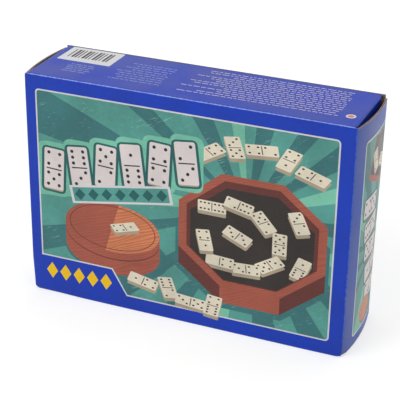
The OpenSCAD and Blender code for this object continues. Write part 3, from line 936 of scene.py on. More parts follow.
    def title_row(self) -> None:
        """Draws the rising row of large cream tiles with a glow, and the bar of lozenges below it."""
        values = ((5, 4), (3, 6), (2, 5), (6, 1), (4, 4), (3, 2))
        spots = [(21.0 + 20.4 * n, 101.5 + 4.6 * n, 7.0 if n % 2 else -3.0) for n in range(len(values))]
        for x, y, _ in spots:
            glow = rounded_box((-8, -16), (8, 16), 4)
            self.draw([(x + 1.55 * p, y + 1.3 * q) for p, q in glow], Ink.FIELD_LIGHT, self.area)
        for (x, y, turn), pair in zip(spots, values):
            self.tile((x, y), (15.6, 31.5), turn, pair, 0, Ink.CREAM, 1.0, 2.0)
        self.draw(((35.4, 77.6), (113.4, 91.3), (110.6, 105.0), (32.6, 91.2)), Ink.WHITE)
        self.draw(((37.0, 79.5), (111.0, 92.5), (109.0, 103.0), (35.0, 90.0)), Ink.FIELD_MID)
        for number in range(7):
            x, y = 36.0 + 74.0 * (number + 0.5) / 7, 84.7 + 13.0 * (number + 0.5) / 7
            corners = ((x - 4.2, y - 0.7), (x + 0.7, y - 4.4), (x + 4.2, y + 0.7), (x - 0.7, y + 4.4))
            self.draw(corners, Ink.DEEP_TEAL)

    def dashes(self, across: Point, along: Point, rows: int, chance: random.Random, ink: Ink) -> None:
        """Draws ragged rows of dashes that say nothing.

        Args:
            across: left and right limit.
            along: low and high limit.
            rows: number of rows.
            chance: source of the rows' starts and the dashes' lengths.
            ink: their ink.
        """
        pitch = (along[1] - along[0]) / rows
        for row in range(rows):
            y = along[0] + pitch * (row + 0.5)
            x = across[0] + chance.uniform(0, 0.28) * (across[1] - across[0])
            while x < across[1] - 1.5:
                wide = min(chance.uniform(1.6, 6.0), across[1] - x)
                self.box((x, y - 0.32), (x + wide, y + 0.32), ink)
                x += wide + 1.1


@dataclass(frozen=True)
class Handling:
    """What use has done to the closed carton: blunted corners, a rippled crease and flaps a little askew."""

    half: Vector
    height: float
    dents: tuple[float, float, float, float] = (2.3, 0.2, 1.5, 0.2)
    dent_reach: float = 7.5
    ripple: float = 0.14
    ripple_pitch: float = 3.4
    ripple_reach: float = 1.9
    ripple_way: tuple[float, float, float] = (0.0, 0.7071, -0.7071)
    askew: Point = (0.75, -0.6)

    def moved(self, spot: Vector, flap_side: int = 0) -> Vector:
        """Where a spot of the carton has gone.

        Args:
            spot: its place on an unused carton, in millimetres.
            flap_side: 1 on the right end flap, -1 on the left one, 0 elsewhere.

        Returns:
            Its place on this carton.
        """
        place = spot.copy()
        for number, depth in enumerate(self.dents):
            sign_x, sign_z = (1, -1)[number < 2], (-1, 1)[number % 2]
            corner = Vector((sign_x * self.half.x, -self.half.y, self.height * (sign_z + 1) / 2))
            gap = (spot - corner).length / self.dent_reach
            if gap < 1:
                place -= Vector((sign_x, -0.5, sign_z)).normalized() * depth * (1 - gap) ** 2
        from_top = math.hypot(spot.y + self.half.y, spot.z - self.height)
        if from_top < 3 * self.ripple_reach and abs(spot.x) < self.half.x - 2:
            swell = 0.55 + 0.45 * math.sin(spot.x * 0.11) * math.sin(spot.x * 0.047 + 1.3)
            wave = 0.5 + 0.5 * math.sin(2 * math.pi * spot.x / self.ripple_pitch)
            depth = self.ripple * swell * wave * math.exp(-(from_top / self.ripple_reach) ** 2)
            place += Vector(self.ripple_way) * depth
        if flap_side:
            out = (spot.y + self.half.y) / (2 * self.half.y)
            askew = self.askew[0] if flap_side > 0 else self.askew[1]
            place.x += flap_side * askew * out * (2 * spot.z / self.height - 1)
        return place


@dataclass(frozen=True)
class Course:
    """How a flat sheet lies in the row frame: its corner, its three directions and its folds."""

    origin: Sequence[float]
    across: Sequence[float]
    along: Sequence[float]
    outward: Sequence[float]
    fold_across: Fold
    fold_along: Fold

    def spot(self, s: float, t: float, depth: float) -> Vector:
        """Place of a spot of the sheet, in millimetres.

        Args:
            s: distance across the flutes.
            t: distance along the flutes.
            depth: height over the outer face, negative inside the board.

        Returns:
            Its place in the row frame.
        """
        x, first_rise = self.fold_across.at(s, depth)
        y, second_rise = self.fold_along.at(t, depth)
        place = Vector(self.origin) + Vector(self.across) * x + Vector(self.along) * y
        return place + Vector(self.outward) * (first_rise + second_rise - depth)


FLAT = Fold((0.0, 0.0), 0.0, ((1.0, 0.0),))


def loft(mesh: Mesh, rings: Sequence[Sequence[Vert]], caps: Sequence[bool] = (True, True)) -> list[Face]:
    """Skins a row of rings.

    Args:
        mesh: the mesh to add to.
        rings: the corners of each ring, all equally many or a single one.
        caps: whether the first and the last ring are closed by a face.

    Returns:
        The faces.
    """
    count = max(len(ring) for ring in rings)
    rings = [list(ring) * (count // len(ring)) for ring in rings]
    rows = [ring for ring, wanted in zip((rings[0][::-1], rings[-1]), caps) if wanted]
    for here, after in zip(rings, rings[1:]):
        rows += zip(here, here[1:] + here[:1], after[1:] + after[:1], after)
    corners = [list(dict.fromkeys(row)) for row in rows]
    return [mesh.faces.new(row) for row in corners if len(row) > 2]


@dataclass(frozen=True)
class Board:
    """The board's build-up: two liners and the fluted sheet between them."""

    thickness: float = 1.2
    liner: float = 0.26
    flute_pitch: float = FLUTE_PITCH
    flute_steps: int = 8
    medium: float = 0.14


@dataclass
class Leaf:
    """One leaf of the carton: a flat outline with its print, laid along its folds."""

    name: str
    body: str
    course: Course
    picture: Picture
    fluted: bool
    guides_s: Sequence[float] = ()
    guides_t: Sequence[float] = ()
    guide_lines: Sequence[tuple[Point, Point]] = ()
    flap_side: int = 0
    inner_ink: Ink = Ink.KRAFT
    high_edge_ink: Ink = Ink.LINER_EDGE
    board: Board = Board()
    smooth_to: float = 28.0
    mesh: Mesh = field(default_factory=bmesh.new)
    inks: list[Ink] = field(default_factory=list)
    handling: Handling | None = None

    def build(self, stock: Stock, handling: Handling) -> bpy.types.Object:
        """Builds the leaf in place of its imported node.

        Args:
            stock: makes the inks' materials.
            handling: what use has done to the carton.

        Returns:
            The leaf, riding on its body.
        """
        self.handling = handling
        board = self.board
        self._slab(0.0, -board.liner if self.fluted else -board.thickness, self.picture.shapes)
        if self.fluted:
            plain = self.picture.shapes[0].inked(self.inner_ink)
            self._slab(board.liner - board.thickness, -board.thickness, [plain])
            self._medium()
        materials = [stock.material(ink) for ink in self.inks]
        return seated(self.mesh, self.name, self.body, materials, self.smooth_to)

    def _vert(self, s: float, t: float, depth: float) -> Vert:
        """New corner at a spot of the sheet."""
        return self.mesh.verts.new(self.handling.moved(self.course.spot(s, t, depth), self.flap_side))

    def _slot(self, ink: Ink) -> int:
        """Number of an ink's material slot, which is added when it is new."""
        if ink not in self.inks:
            self.inks.append(ink)
        return self.inks.index(ink)

    def _face(self, corners: Sequence[Vert], ink: Ink) -> None:
        """Adds a face of one ink."""
        self.mesh.faces.new(corners).material_index = self._slot(ink)

    def _cut_up(self, shapes: Sequence[Shape]) -> tuple[list[Point], list[tuple[int, ...]], list[Ink]]:
        """Cuts the flat outline into triangles that follow the print and the folds.

        Args:
            shapes: the print, its first shape the sheet itself.

        Returns:
            The flat corners, the triangles, and the ink of each triangle.
        """
        points: list[Vector] = []
        rings: list[list[int]] = []
        for shape in shapes:
            rings.append(list(range(len(points), len(points) + len(shape.outline))))
            points += [Vector(corner) for corner in shape.outline]
        lows, highs = ([pick(p[k] for p in shapes[0].outline) for k in (0, 1)] for pick in (min, max))
        lines = [((s, lows[1]), (s, highs[1])) for s in self.guides_s]
        lines += [((lows[0], t), (highs[0], t)) for t in self.guides_t]
        edges: list[tuple[int, int]] = []
        for first, last in lines + list(self.guide_lines):
            edges.append((len(points), len(points) + 1))
            points += [Vector(first), Vector(last)]
        result = delaunay_2d_cdt(points, edges, rings, 1, 1e-4)
        cut = [(tuple(face), sources) for face, sources in zip(result[2], result[5]) if 0 in sources]
        inks = [shapes[max(n for n in sources if shapes[n].within in sources)].ink for _, sources in cut]
        return [(v.x, v.y) for v in result[0]], [face for face, _ in cut], inks

    def _slab(self, outer: float, inner: float, shapes: Sequence[Shape]) -> None:
        """Adds one closed sheet between two depths.

        Args:
            outer: depth of its outer face.
            inner: depth of its inner face.
            shapes: the print on its outer face.
        """
        flat, corners, printed = self._cut_up(shapes)
        wanted = sorted({n for face in corners for n in face})
        above, below = ({n: self._vert(*flat[n], depth) for n in wanted} for depth in (outer, inner))
        borders: set[tuple[int, int]] = set()
        for face, ink in zip(corners, printed):
            self._face([above[n] for n in face], ink)
            self._face([below[n] for n in reversed(face)], self.inner_ink)
            for a, b in zip(face, face[1:] + face[:1]):
                if (b, a) in borders:
                    borders.remove((b, a))
                else:
                    borders.add((a, b))
        highest = max(flat[n][1] for n in wanted) - 0.01
        for a, b in sorted(borders):
            cut = self.high_edge_ink if min(flat[a][1], flat[b][1]) > highest else Ink.LINER_EDGE
            self._face([above[b], above[a], below[a], below[b]], cut if self.fluted else self.inner_ink)

    def _medium(self) -> None:
        """Adds the fluted sheet between the liners."""
        board, side, end, overlap = self.board, 0.06, 0.05, 0.01
        across = [p[0] for p in self.picture.shapes[0].outline]
        low, high = min(across) + end, max(across) - end
        count = max(2, round((high - low) / board.flute_pitch * board.flute_steps))
        swing = board.thickness / 2 - board.liner - board.medium / 2 + overlap
        rings: list[list[Vert]] = []
        for step in range(count + 1):
            s = low + (high - low) * step / count
            first, last = self._reach(s)
            first, last = first + side, last - side
            stops = [first, *(t for t in self.guides_t if first < t < last), last]
            pieces = 1 + len(self.guides_t)
            if len(stops) != 1 + pieces:
                stops = [first + (last - first) * k / pieces for k in range(1 + pieces)]
            wave = swing * math.sin(2 * math.pi * (s - low) / board.flute_pitch) - board.thickness / 2
            spots = [(t, wave + board.medium / 2) for t in stops]
            spots += [(t, wave - board.medium / 2) for t in reversed(stops)]
            rings.append([self._vert(s, t, depth) for t, depth in spots])
        for face in loft(self.mesh, rings):
            face.material_index = self._slot(Ink.MEDIUM)

    def _reach(self, s: float) -> tuple[float, float]:
        """How far the outline reaches along the flutes.

        Args:
            s: place of the line that is looked along, across the flutes.

        Returns:
            The outline's lowest and highest place on that line.
        """
        outline = self.picture.shapes[0].outline
        found = []
        for (x, y), (p, q) in zip(outline, outline[1:] + outline[:1]):
            if (x - s) * (p - s) <= 0 and x != p:
                found.append(y + (q - y) * (s - x) / (p - x))
        return min(found), max(found)


def seated(mesh: Mesh, name: str, body: str, materials: Iterable[Material],
           smooth_to: float) -> bpy.types.Object:
    """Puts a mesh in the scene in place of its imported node.

    Args:
        mesh: the mesh in millimetres in the row frame, which is freed.
        name: name of the node.
        body: the body that the piece rides on.
        materials: its materials in the order of its slots.
        smooth_to: largest angle in degrees that still shades smoothly.

    Returns:
        The piece.
    """
    bmesh.ops.recalc_face_normals(mesh, faces=mesh.faces)
    for edge in mesh.edges:
        edge.smooth = len(edge.link_faces) == 2 and edge.calc_face_angle(math.pi) < math.radians(smooth_to)
    for face in mesh.faces:
        face.smooth = True
    data = bpy.data.meshes.new(name)
    mesh.to_mesh(data)
    mesh.free()
    data.transform(Matrix.Scale(MM, 4))
    for material in materials:
        data.materials.append(material)
    piece = bpy.data.objects.new(f"{name}_dressed", data)
    bpy.context.scene.collection.objects.link(piece)
    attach(piece, body)
    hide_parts(name)
    piece.modifiers.new("weighted", "WEIGHTED_NORMAL").keep_sharp = True
    LOG.info("%s: %d faces on %s", piece.name, len(data.polygons), body)
    return piece


def rounded_outline(corners: Sequence[tuple[float, float, float]],
                    steps: int = CORNER_STEPS) -> list[Point]:
    """Outline with each corner rounded by its own radius.

    Args:
        corners: x, y and radius of each corner.
        steps: facets in each round corner.

    Returns:
        The outline.
    """
    points: list[Point] = []
    for number, (x, y, radius) in enumerate(corners):
        if radius <= 0:
            points.append((x, y))
            continue
        here = Vector((x, y))
        before = (Vector(corners[number - 1][:2]) - here).normalized() * radius + here
        after = (Vector(corners[(number + 1) % len(corners)][:2]) - here).normalized() * radius + here
        for step in range(steps + 1):
            share = step / steps
            spot = before * (1 - share) ** 2 + here * 2 * share * (1 - share) + after * share ** 2
            points.append((spot.x, spot.y))
    return points


@dataclass(frozen=True)
class CartonSizes:
    """Outside sizes of the closed carton and its leaves, in millimetres."""

    length: float = 240.0
    depth: float = 65.0
    height: float = 171.0
    crease: Crease = Crease(1.3)
    end_inset: float = 1.5
    raw_edge_drop: float = 0.5
    glue_flap: float = 14.0
    glue_setback: float = 20.0
    glue_taper: float = 5.0
    board: float = Board.thickness
    past_crease: float = 0.8

    @property
    def crease_first(self) -> float:
        """Place of a crease's diagonal along a sheet."""
        return self.crease.radius - self.crease.length

    def crease_guides(self, width: float, start: bool, end: bool) -> list[float]:
        """Lines that a sheet is cut along so that it can bend at its creases.

        Args:
            width: distance between the sharp corners.
            start: whether there is a crease at the start.
            end: whether there is one at the end.

        Returns:
            Places of the lines.
        """
        one = [self.crease_first + self.crease.length * share for share in (0.25, 0.5, 0.75, 1.0)]
        one.append(one[-1] + self.past_crease)
        guides = list(one) if start else []
        if end:
            guides += [width - place for place in one]
        return guides


class PanelPrints:
    """The carton's printed faces: generic pictures of tiles, a tray and a round box."""

    def __init__(self, sizes: CartonSizes) -> None:
        """Takes the carton's sizes."""
        self.sizes = sizes

    def sheet(self, width: float, height: float, creased: tuple[bool, bool, bool, bool]) -> list[Point]:
        """Outline of a rectangular leaf up to its creases' diagonals.

        Args:
            width: between its sharp corners, across the flutes.
            height: between its sharp corners, along the flutes.
            creased: whether its left, right, low and high edge is a crease.

        Returns:
            The outline.
        """
        inset = [self.sizes.crease_first if crease else 0.0 for crease in creased]
        left, right, low, high = inset[0], width - inset[1], inset[2], height - inset[3]
        return [(left, low), (right, low), (right, high), (left, high)]

    def front(self) -> Picture:
        """Front: a tray of tiles and a round box before rays, with a rising row of large tiles.

        Returns:
            The print.
        """
        sheet = self.sheet(self.sizes.length, self.sizes.height, (True, True, True, True))
        picture = Picture(sheet, Ink.BLUE)
        picture.frame((8.3, 11.0), (229.7, 160.7), Ink.FIELD_MID)
        picture.rays((168.0, 96.0), 11, 18)
        picture.chain((172.0, 84.0), (66.0, 60.0), (44, 128), 5, 3)
        picture.tray((171.0, 79.0), 58.0)
        picture.round_box((66.0, 64.0), 37.0)
        for x, y, turn, values in ((90.0, 26.5, 74, (4, 1)), (109.5, 25.5, 14, (2, 6)),
                                   (127.0, 18.0, 84, (5, 3)), (144.0, 19.0, -8, (6, 4))):
            picture.tile((x, y), (11.6, 23.2), turn, values, squash=0.7)
        picture.title_row()
        picture.draw(((8.3, 11.0), (78.0, 11.0), (66.0, 31.5), (8.3, 31.5)), Ink.WHITE)
        picture.draw(((7.0, 9.0), (78.1, 9.0), (65.2, 30.4), (7.0, 30.4)), Ink.BLUE)
        for number in range(5):
            picture.lozenge((16.5 + number * 11.0, 19.0), 4.6, 6.6, Ink.YELLOW)
        return picture

    def top(self) -> Picture:
        """Top: a white label with stripes, three blocks of pale dashes, a small ring and a dark strip of
        painted shade along the rear crease.

        Returns:
            The print.
        """
        width = self.sizes.length - 2 * self.sizes.end_inset
        height = self.sizes.depth - self.sizes.board
        # the top's ground is the blue darkened as painted shade
        picture = Picture(self.sheet(width, height, (True, True, True, True)), Ink.BLUE_TOP)
        picture.box((5.5, 35.0), (46.8, 62.0), Ink.WHITE)
        # painted shade: a dark strip along the rear crease, where it turns away from the light
        picture.box((-1.0, height - 1.7), (width + 1.0, height), Ink.BLUE_FOLD)
        for number in range(12):
            x, wide = 10.0 + 2.7 * number, (1.0, 2.0, 1.4)[number % 3]
            picture.box((x, 42.0), (x + wide, 58.0), Ink.STRIPE)
        chance = random.Random(5)
        picture.dashes((15.5, 39.5), (14.0, 31.0), 5, chance, Ink.PALE_BLUE)
        picture.dashes((54.0, 93.5), (14.0, 50.0), 9, chance, Ink.PALE_BLUE)
        picture.dashes((106.0, 220.5), (12.5, 58.5), 13, chance, Ink.CREAM)
        picture.draw(ellipse((228.8, 16.5), 3.4, 3.4, 20), Ink.WHITE)
        picture.draw(ellipse((228.8, 16.5), 2.2, 2.2, 20), Ink.ORANGE_WOOD)
        return picture

    def end(self, outline: Sequence[Point], length: float) -> Picture:
        """End: a mat with two tiles, a column of cream tiles and a round lid.

        Args:
            outline: the flap's outline.
            length: its length from the crease to the fold.

        Returns:
            The print.
        """
        # the end's ground is the blue with a painted sheen
        picture = Picture(outline, Ink.BLUE_END)
        picture.frame((14.6, 8.6), (length + 8.0, 155.2), Ink.FIELD_MID)
        picture.rays((44.0, 70.0), 21, 13)
        area = picture.area
        corners = ((24.0, 128.0), (34.0, 156.0), (66.0, 152.0), (70.0, 122.0), (50.0, 116.0))
        picture.draw([(x, y - 3) for x, y in corners], Ink.RED_WOOD, area)
        picture.draw([(47 + (x - 47) * 0.9, 137 + (y - 137) * 0.86 - 1) for x, y in corners], Ink.MAT, area)
        picture.tile((57.0, 128.0), (9.5, 19.0), 64, (4, 3), area, side=1.6, squash=0.9)
        picture.tile((38.0, 134.5), (9.5, 19.0), 20, (2, 6), area, side=1.6, squash=0.9)
        for number, pair in enumerate(((5, 4), (3, 6), (2, 5), (6, 1), (4, 2))):
            spot = (34.0 + number * 3.6, 103.0 - number * 17.2)
            picture.tile(spot, (13.6, 27.0), 96 if number % 2 else 86, pair, area, Ink.CREAM, 0.9, 1.8)
        picture.draw(ellipse((38.5, 19.5), 12.0, 9.0, 28), Ink.RED_WOOD, area)
        picture.draw(ellipse((37.5, 21.5), 12.0, 9.0, 28), Ink.ORANGE_WOOD, area)
        return picture

    def back(self) -> Picture:
        """Back: the same frame and rays with the round box, a bent row and three short rows of tiles.

        Returns:
            The print.
        """
        height = self.sizes.height - self.sizes.raw_edge_drop
        picture = Picture(self.sheet(self.sizes.length, height, (False, False, True, False)), Ink.BLUE)
        picture.frame((10.3, 11.0), (231.7, 160.0), Ink.FIELD_MID)
        picture.rays((74.0, 66.0), 31, 18)
        picture.round_box((66.0, 92.0), 42.0)
        picture.chain((120.0, 190.0), (100.0, 66.0), (214, 328), 9, 9)
        chance = random.Random(17)
        for row in range(3):
            for column in range(4):
                spot = (146.0 + column * 20.5 + row * 4.0, 118.0 - row * 33.0 - (column % 2) * 3.0)
                pair = (chance.randint(0, 6), chance.randint(0, 6))
                picture.tile(spot, (14.2, 28.4), 4 - row * 4, pair, picture.area, Ink.CREAM, 1.4, 1.4)
        return picture

    def bottom(self) -> Picture:
        """Bottom: plain blue with a thin white line and a row of pale lozenges.

        Returns:
            The print.
        """
        width, depth = self.sizes.length - 2 * self.sizes.end_inset, self.sizes.depth
        picture = Picture(self.sheet(width, depth, (True, True, True, True)), Ink.BLUE)
        picture.frame((10.0, 10.0), (width - 10.0, depth - 10.0), Ink.BLUE, 0.9)
        for number in range(9):
            picture.lozenge((38.0 + number * 20.2, depth / 2), 5.0, 7.0, Ink.PALE_BLUE)
        return picture


@dataclass
class CartonTube:
    """The four panels of the carton and the glued flap that closes the tube."""

    sizes: CartonSizes
    prints: PanelPrints
    cut_inset: float = 4.0
    cut_step: float = 0.85

    def _ripple_lines(self, width: float, first: float, last: float) -> list[tuple[Point, Point]]:
        """Short cuts across a crease of a width, from first to last, so that it can ripple."""
        numbers = range(int((width - 2 * self.cut_inset) / self.cut_step) + 1)
        return [((s, first), (s, last)) for s in (self.cut_inset + self.cut_step * k for k in numbers)]

    def leaves(self) -> list[Leaf]:
        """The tube's leaves.

        Returns:
            The front, top, bottom and back panel and the glued flap.
        """
        sizes, prints = self.sizes, self.prints
        straight, guides = sizes.crease.straight, sizes.crease_guides
        long, high, deep, glued = sizes.length, sizes.height, sizes.depth, sizes.glue_flap
        x, y = long / 2, deep / 2
        left, short, lid = -x + sizes.end_inset, long - 2 * sizes.end_inset, deep - sizes.board
        tall = high - sizes.raw_edge_drop
        front = Course((-x, -y, 0), (1, 0, 0), (0, 0, 1), (0, -1, 0), straight(long, True, True),
                       straight(high, True, True))
        top = Course((left, -y, high), (1, 0, 0), (0, 1, 0), (0, 0, 1), straight(short, True, True),
                     straight(lid, True, True))
        bottom = Course((left, -y, 0), (1, 0, 0), (0, 1, 0), (0, 0, -1), straight(short, True, True),
                        straight(deep, True, True))
        back = Course((x, y, 0), (-1, 0, 0), (0, 0, 1), (0, 1, 0), FLAT, straight(tall, True, False))
        flap = Course((left, lid - y, high), (1, 0, 0), (0, 0, -1), (0, 1, 0), FLAT,
                      straight(glued, True, False))
        near, far = sizes.crease_first, sizes.crease.radius + sizes.past_crease
        setback = sizes.glue_setback - sizes.end_inset
        ahead, taper = short - setback, sizes.glue_taper
        outline = [(setback, near), (ahead, near), (ahead - taper, glued), (setback + taper, glued)]
        return [
            Leaf("front_panel", "carton", front, prints.front(), False, guides(long, True, True),
                 guides(high, True, True), self._ripple_lines(long, high - far, high - near)),
            Leaf("top_panel", "carton", top, prints.top(), False, guides(short, True, True),
                 guides(lid, True, True), self._ripple_lines(short, near, far)),
            Leaf("bottom_panel", "carton", bottom, prints.bottom(), False, guides(short, True, True),
                 guides(deep, True, True)),
            Leaf("back_panel", "carton", back, prints.back(), True, (), guides(tall, True, False),
                 # the back panel's top raw edge is darkened as painted shade
                 high_edge_ink=Ink.SOILED_EDGE),
            Leaf("glue_flap", "carton", flap, Picture(outline, Ink.BLUE), True, (),
                 guides(glued, True, False)),
        ]


@dataclass
class EndClosure:
    """One end of the carton: the bowed end flap, its tuck tab and two dust flaps."""

    side: int
    sizes: CartonSizes
    prints: PanelPrints
    fold_at: Point = (62.6, 1.1)
    bow_radius: float = 168.4
    fold_radius: float = 1.0
    tab_lean: float = 7.0
    tab_length: float = 15.0
    tab_taper: float = 5.0
    flap_inset: float = 1.6
    tab_inset: float = 2.6
    corner: float = 4.0
    dust_length: float = 40.0
    dust_from: float = 3.2
    dust_to: float = 58.57
    dust_slope: float = 0.7

    @property
    def name(self) -> str:
        """Which end this is."""
        return "right" if self.side > 0 else "left"

    def _section(self) -> tuple[Fold, float, float]:
        """The bowed flap and its tab as one course in plan.

        Returns:
            The course, the place of the fold's middle and the place of the tab's tip.
        """
        crease = self.sizes.crease
        tab_heading = -math.pi / 2 - math.radians(self.tab_lean)
        chord_angle = math.atan2(self.fold_at[1], self.fold_at[0] - crease.radius)
        half = math.asin((self.fold_at[0] - crease.radius) / 2 / self.bow_radius)
        # Each round brings the bow's chord closer to the flap's own two ends.
        for _ in range(4):
            start_heading, end_heading = chord_angle + half, chord_angle - half
            turn = end_heading - tab_heading
            setback = self.fold_radius * math.tan(turn / 2)
            end = Vector((self.fold_at[0] - setback * math.cos(end_heading),
                          self.fold_at[1] - setback * math.sin(end_heading)))
            lead = math.pi / 4 - start_heading
            centre = Vector((crease.radius, -crease.radius))
            begin = centre + crease.radius * Vector((-math.sin(start_heading), math.cos(start_heading)))
            chord = end - begin
            chord_angle = math.atan2(chord.y, chord.x)
            half = math.asin(chord.length / 2 / self.bow_radius)
        stretches = ((crease.radius * lead, -lead), (2 * half * self.bow_radius, -2 * half),
                     (self.fold_radius * turn, -turn), (self.tab_length - setback, 0.0))
        course = Fold((crease.inset, -crease.inset), math.pi / 4, stretches)
        fold_middle = stretches[0][0] + stretches[1][0] + stretches[2][0] / 2
        return course, fold_middle, course.end

    def leaves(self) -> list[Leaf]:
        """The end's leaves.

        Returns:
            The end flap, its tuck tab, and the top and bottom dust flap.
        """
        sizes = self.sizes
        section, fold_middle, tip = self._section()
        x, y = self.side * sizes.length / 2, sizes.depth / 2
        course = Course((x, -y, 0), (0, 1, 0), (0, 0, 1), (self.side, 0, 0), section, FLAT)
        low, high = self.flap_inset, sizes.height - self.flap_inset
        outline = [(0.0, low), (fold_middle, low), (fold_middle, high), (0.0, high)]
        first, bow, fold, _ = [length for length, _ in section.stretches]
        guides = [first * share for share in (0.33, 0.67, 1.0)]
        guides += [first + bow * k / 12 for k in range(1, 13)]
        guides += [first + bow + fold * share for share in (0.17, 0.33)]
        root, far = self.tab_inset, self.tab_inset + self.tab_taper
        start = first + bow
        step, top = start + fold + 1.0, sizes.height
        tab = rounded_outline([(fold_middle, root, 0), (step, root + 0.2, 0), (tip, far, self.corner),
                               (tip, top - far, self.corner), (step, top - root - 0.2, 0),
                               (fold_middle, top - root, 0)])
        tab_guides = [start + fold * share for share in (0.67, 0.83, 1.0)]
        tab_guides.append(start + fold + sizes.past_crease)
        leaves = []
        for part, picture, lines in (("end_flap", self.prints.end(outline, fold_middle), guides),
                                     # the tab takes the end's blue with its painted sheen
                                     ("tuck_tab", Picture(tab, Ink.BLUE_END), tab_guides)):
            name = f"{self.name}_{part}"
            leaves.append(Leaf(name, name, course, picture, True, lines, flap_side=self.side))
        return leaves + [self._dust_flap(1), self._dust_flap(-1)]

    def _dust_flap(self, up: int) -> Leaf:
        """One dust flap.

        Args:
            up: 1 for the one on the top panel, -1 for the one on the bottom panel.

        Returns:
            The leaf.
        """
        sizes = self.sizes
        x = self.side * (sizes.length / 2 - sizes.end_inset)
        z = sizes.height if up > 0 else 0.0
        name = f"{self.name}_{'top' if up > 0 else 'bottom'}_dust_flap"
        reach, root, near, far = self.dust_length, sizes.crease_first, self.dust_from, self.dust_to
        course = Course((x, -sizes.depth / 2, z), (0, 0, -up), (0, 1, 0), (self.side, 0, 0),
                        sizes.crease.straight(reach, True, False), FLAT)
        before, tip_near = reach - self.corner, near + self.dust_slope * reach
        front = arc((before, tip_near + self.corner), self.corner, -45.0, 0.0, CORNER_STEPS)
        back = arc((before, far - self.corner), self.corner, 0.0, 90.0, CORNER_STEPS)
        lead = near + (front[0][1] - near) * root / front[0][0]
        outline = [(root, lead), *front, *back, (root, far)]
        return Leaf(name, name, course, Picture(outline, Ink.BLUE), True,
                    sizes.crease_guides(reach, True, False))


class Workpiece:
    """One piece of the case while it is shaped, lying flat with the lid up, in millimetres."""

    def __init__(self, name: str) -> None:
        """Starts an empty piece."""
        self.name = name
        self.mesh = bmesh.new()
        self.stuffs: list[Stuff] = []

    def ring(self, outline: Iterable[Point], height: float) -> list[Vert]:
        """New corners of an outline at one height."""
        return [self.mesh.verts.new((x, y, height)) for x, y in outline]

    def mark(self, faces: Iterable[Face], stuff: Stuff) -> None:
        """Gives faces their stuff.

        Args:
            faces: the faces.
            stuff: what they are made of.
        """
        if stuff not in self.stuffs:
            self.stuffs.append(stuff)
        for face in faces:
            face.material_index = self.stuffs.index(stuff)

    def prism(self, outline: Sequence[Point], low: float, high: float, stuff: Stuff, bevel: float = 0.0,
              place: Matrix | None = None) -> None:
        """Adds an upright prism with softened edges.

        Args:
            outline: its outline, seen from above.
            low: height of its lower face.
            high: height of its upper face.
            stuff: what it is made of.
            bevel: how far its edges are softened.
            place: moves the finished prism.
        """
        rings = [self.ring(outline, low), self.ring(outline, high)]
        faces = loft(self.mesh, rings)
        self.mark(faces, stuff)
        made = set(rings[0] + rings[1])
        if bevel > 0:
            self.mesh.normal_update()
            edges = {e for f in faces for e in f.edges if e.calc_face_angle(0.0) > math.radians(30)}
            result = bmesh.ops.bevel(self.mesh, geom=list(edges), offset=bevel, segments=2, profile=0.6,
                                     affect="EDGES", clamp_overlap=True, material=-1)
            made = {v for v in made if v.is_valid} | {v for f in result["faces"] for v in f.verts}
        if place is not None:
            bmesh.ops.transform(self.mesh, matrix=place, verts=list(made))

    def turned(self, profile: Sequence[Point], stuff: Stuff, place: Matrix, count: int = 20) -> None:
        """Adds a turned shape.

        Args:
            profile: radius and height of each step; a radius of 0 closes an end.
            stuff: what it is made of.
            place: where its axis stands, its foot at the origin.
            count: number of facets.
        """
        looped = profile[-1] == profile[0]
        rings = [self.ring(ellipse((0.0, 0.0), radius, radius, count if radius > 0 else 1), height)
                 for radius, height in (profile[:-1] if looped else profile)]
        bmesh.ops.transform(self.mesh, matrix=place, verts=[v for ring in rings for v in ring])
        self.mark(loft(self.mesh, rings + rings[:looped], (False, False)), stuff)

    def seat(self, place: Matrix, stock: Stock, smooth_to: float = 40.0) -> bpy.types.Object:
        """Puts the finished piece in the scene, on the case.

        Args:
            place: takes it from the flat case to the row frame, in millimetres.
            stock: makes the materials.
            smooth_to: largest angle in degrees that still shades smoothly.

        Returns:
            The piece.
        """
        bmesh.ops.transform(self.mesh, matrix=place, verts=self.mesh.verts)
        materials = [stock.material(stuff) for stuff in self.stuffs]
        return seated(self.mesh, self.name, "case", materials, smooth_to)


@dataclass(frozen=True)
class CaseSizes:
    """Sizes of the wooden case, lying flat with its hinges along its low y edge, in millimetres."""

    length: float = 222.0
    width: float = 138.0
    rail: float = 10.0
    base_height: float = 32.0
    height: float = 50.0
    board: float = 4.0
    lining: float = 0.8
    dark_share: float = 0.45
    hinge_spacing: float = 136.0
    carton_y: float = 26.3
    carton_z: float = 73.6

    @property
    def inner(self) -> Point:
        """Length and width between the rails."""
        return self.length - 2 * self.rail, self.width - 2 * self.rail

    @property
    def hinges(self) -> Point:
        """Middles of the two hinges."""
        return -self.hinge_spacing / 2, self.hinge_spacing / 2

    @property
    def in_carton(self) -> Matrix:
        """Stands the flat case up in the carton."""
        return Matrix(((1, 0, 0, 0), (0, 0, -1, self.carton_y), (0, 1, 0, self.carton_z), (0, 0, 0, 1)))


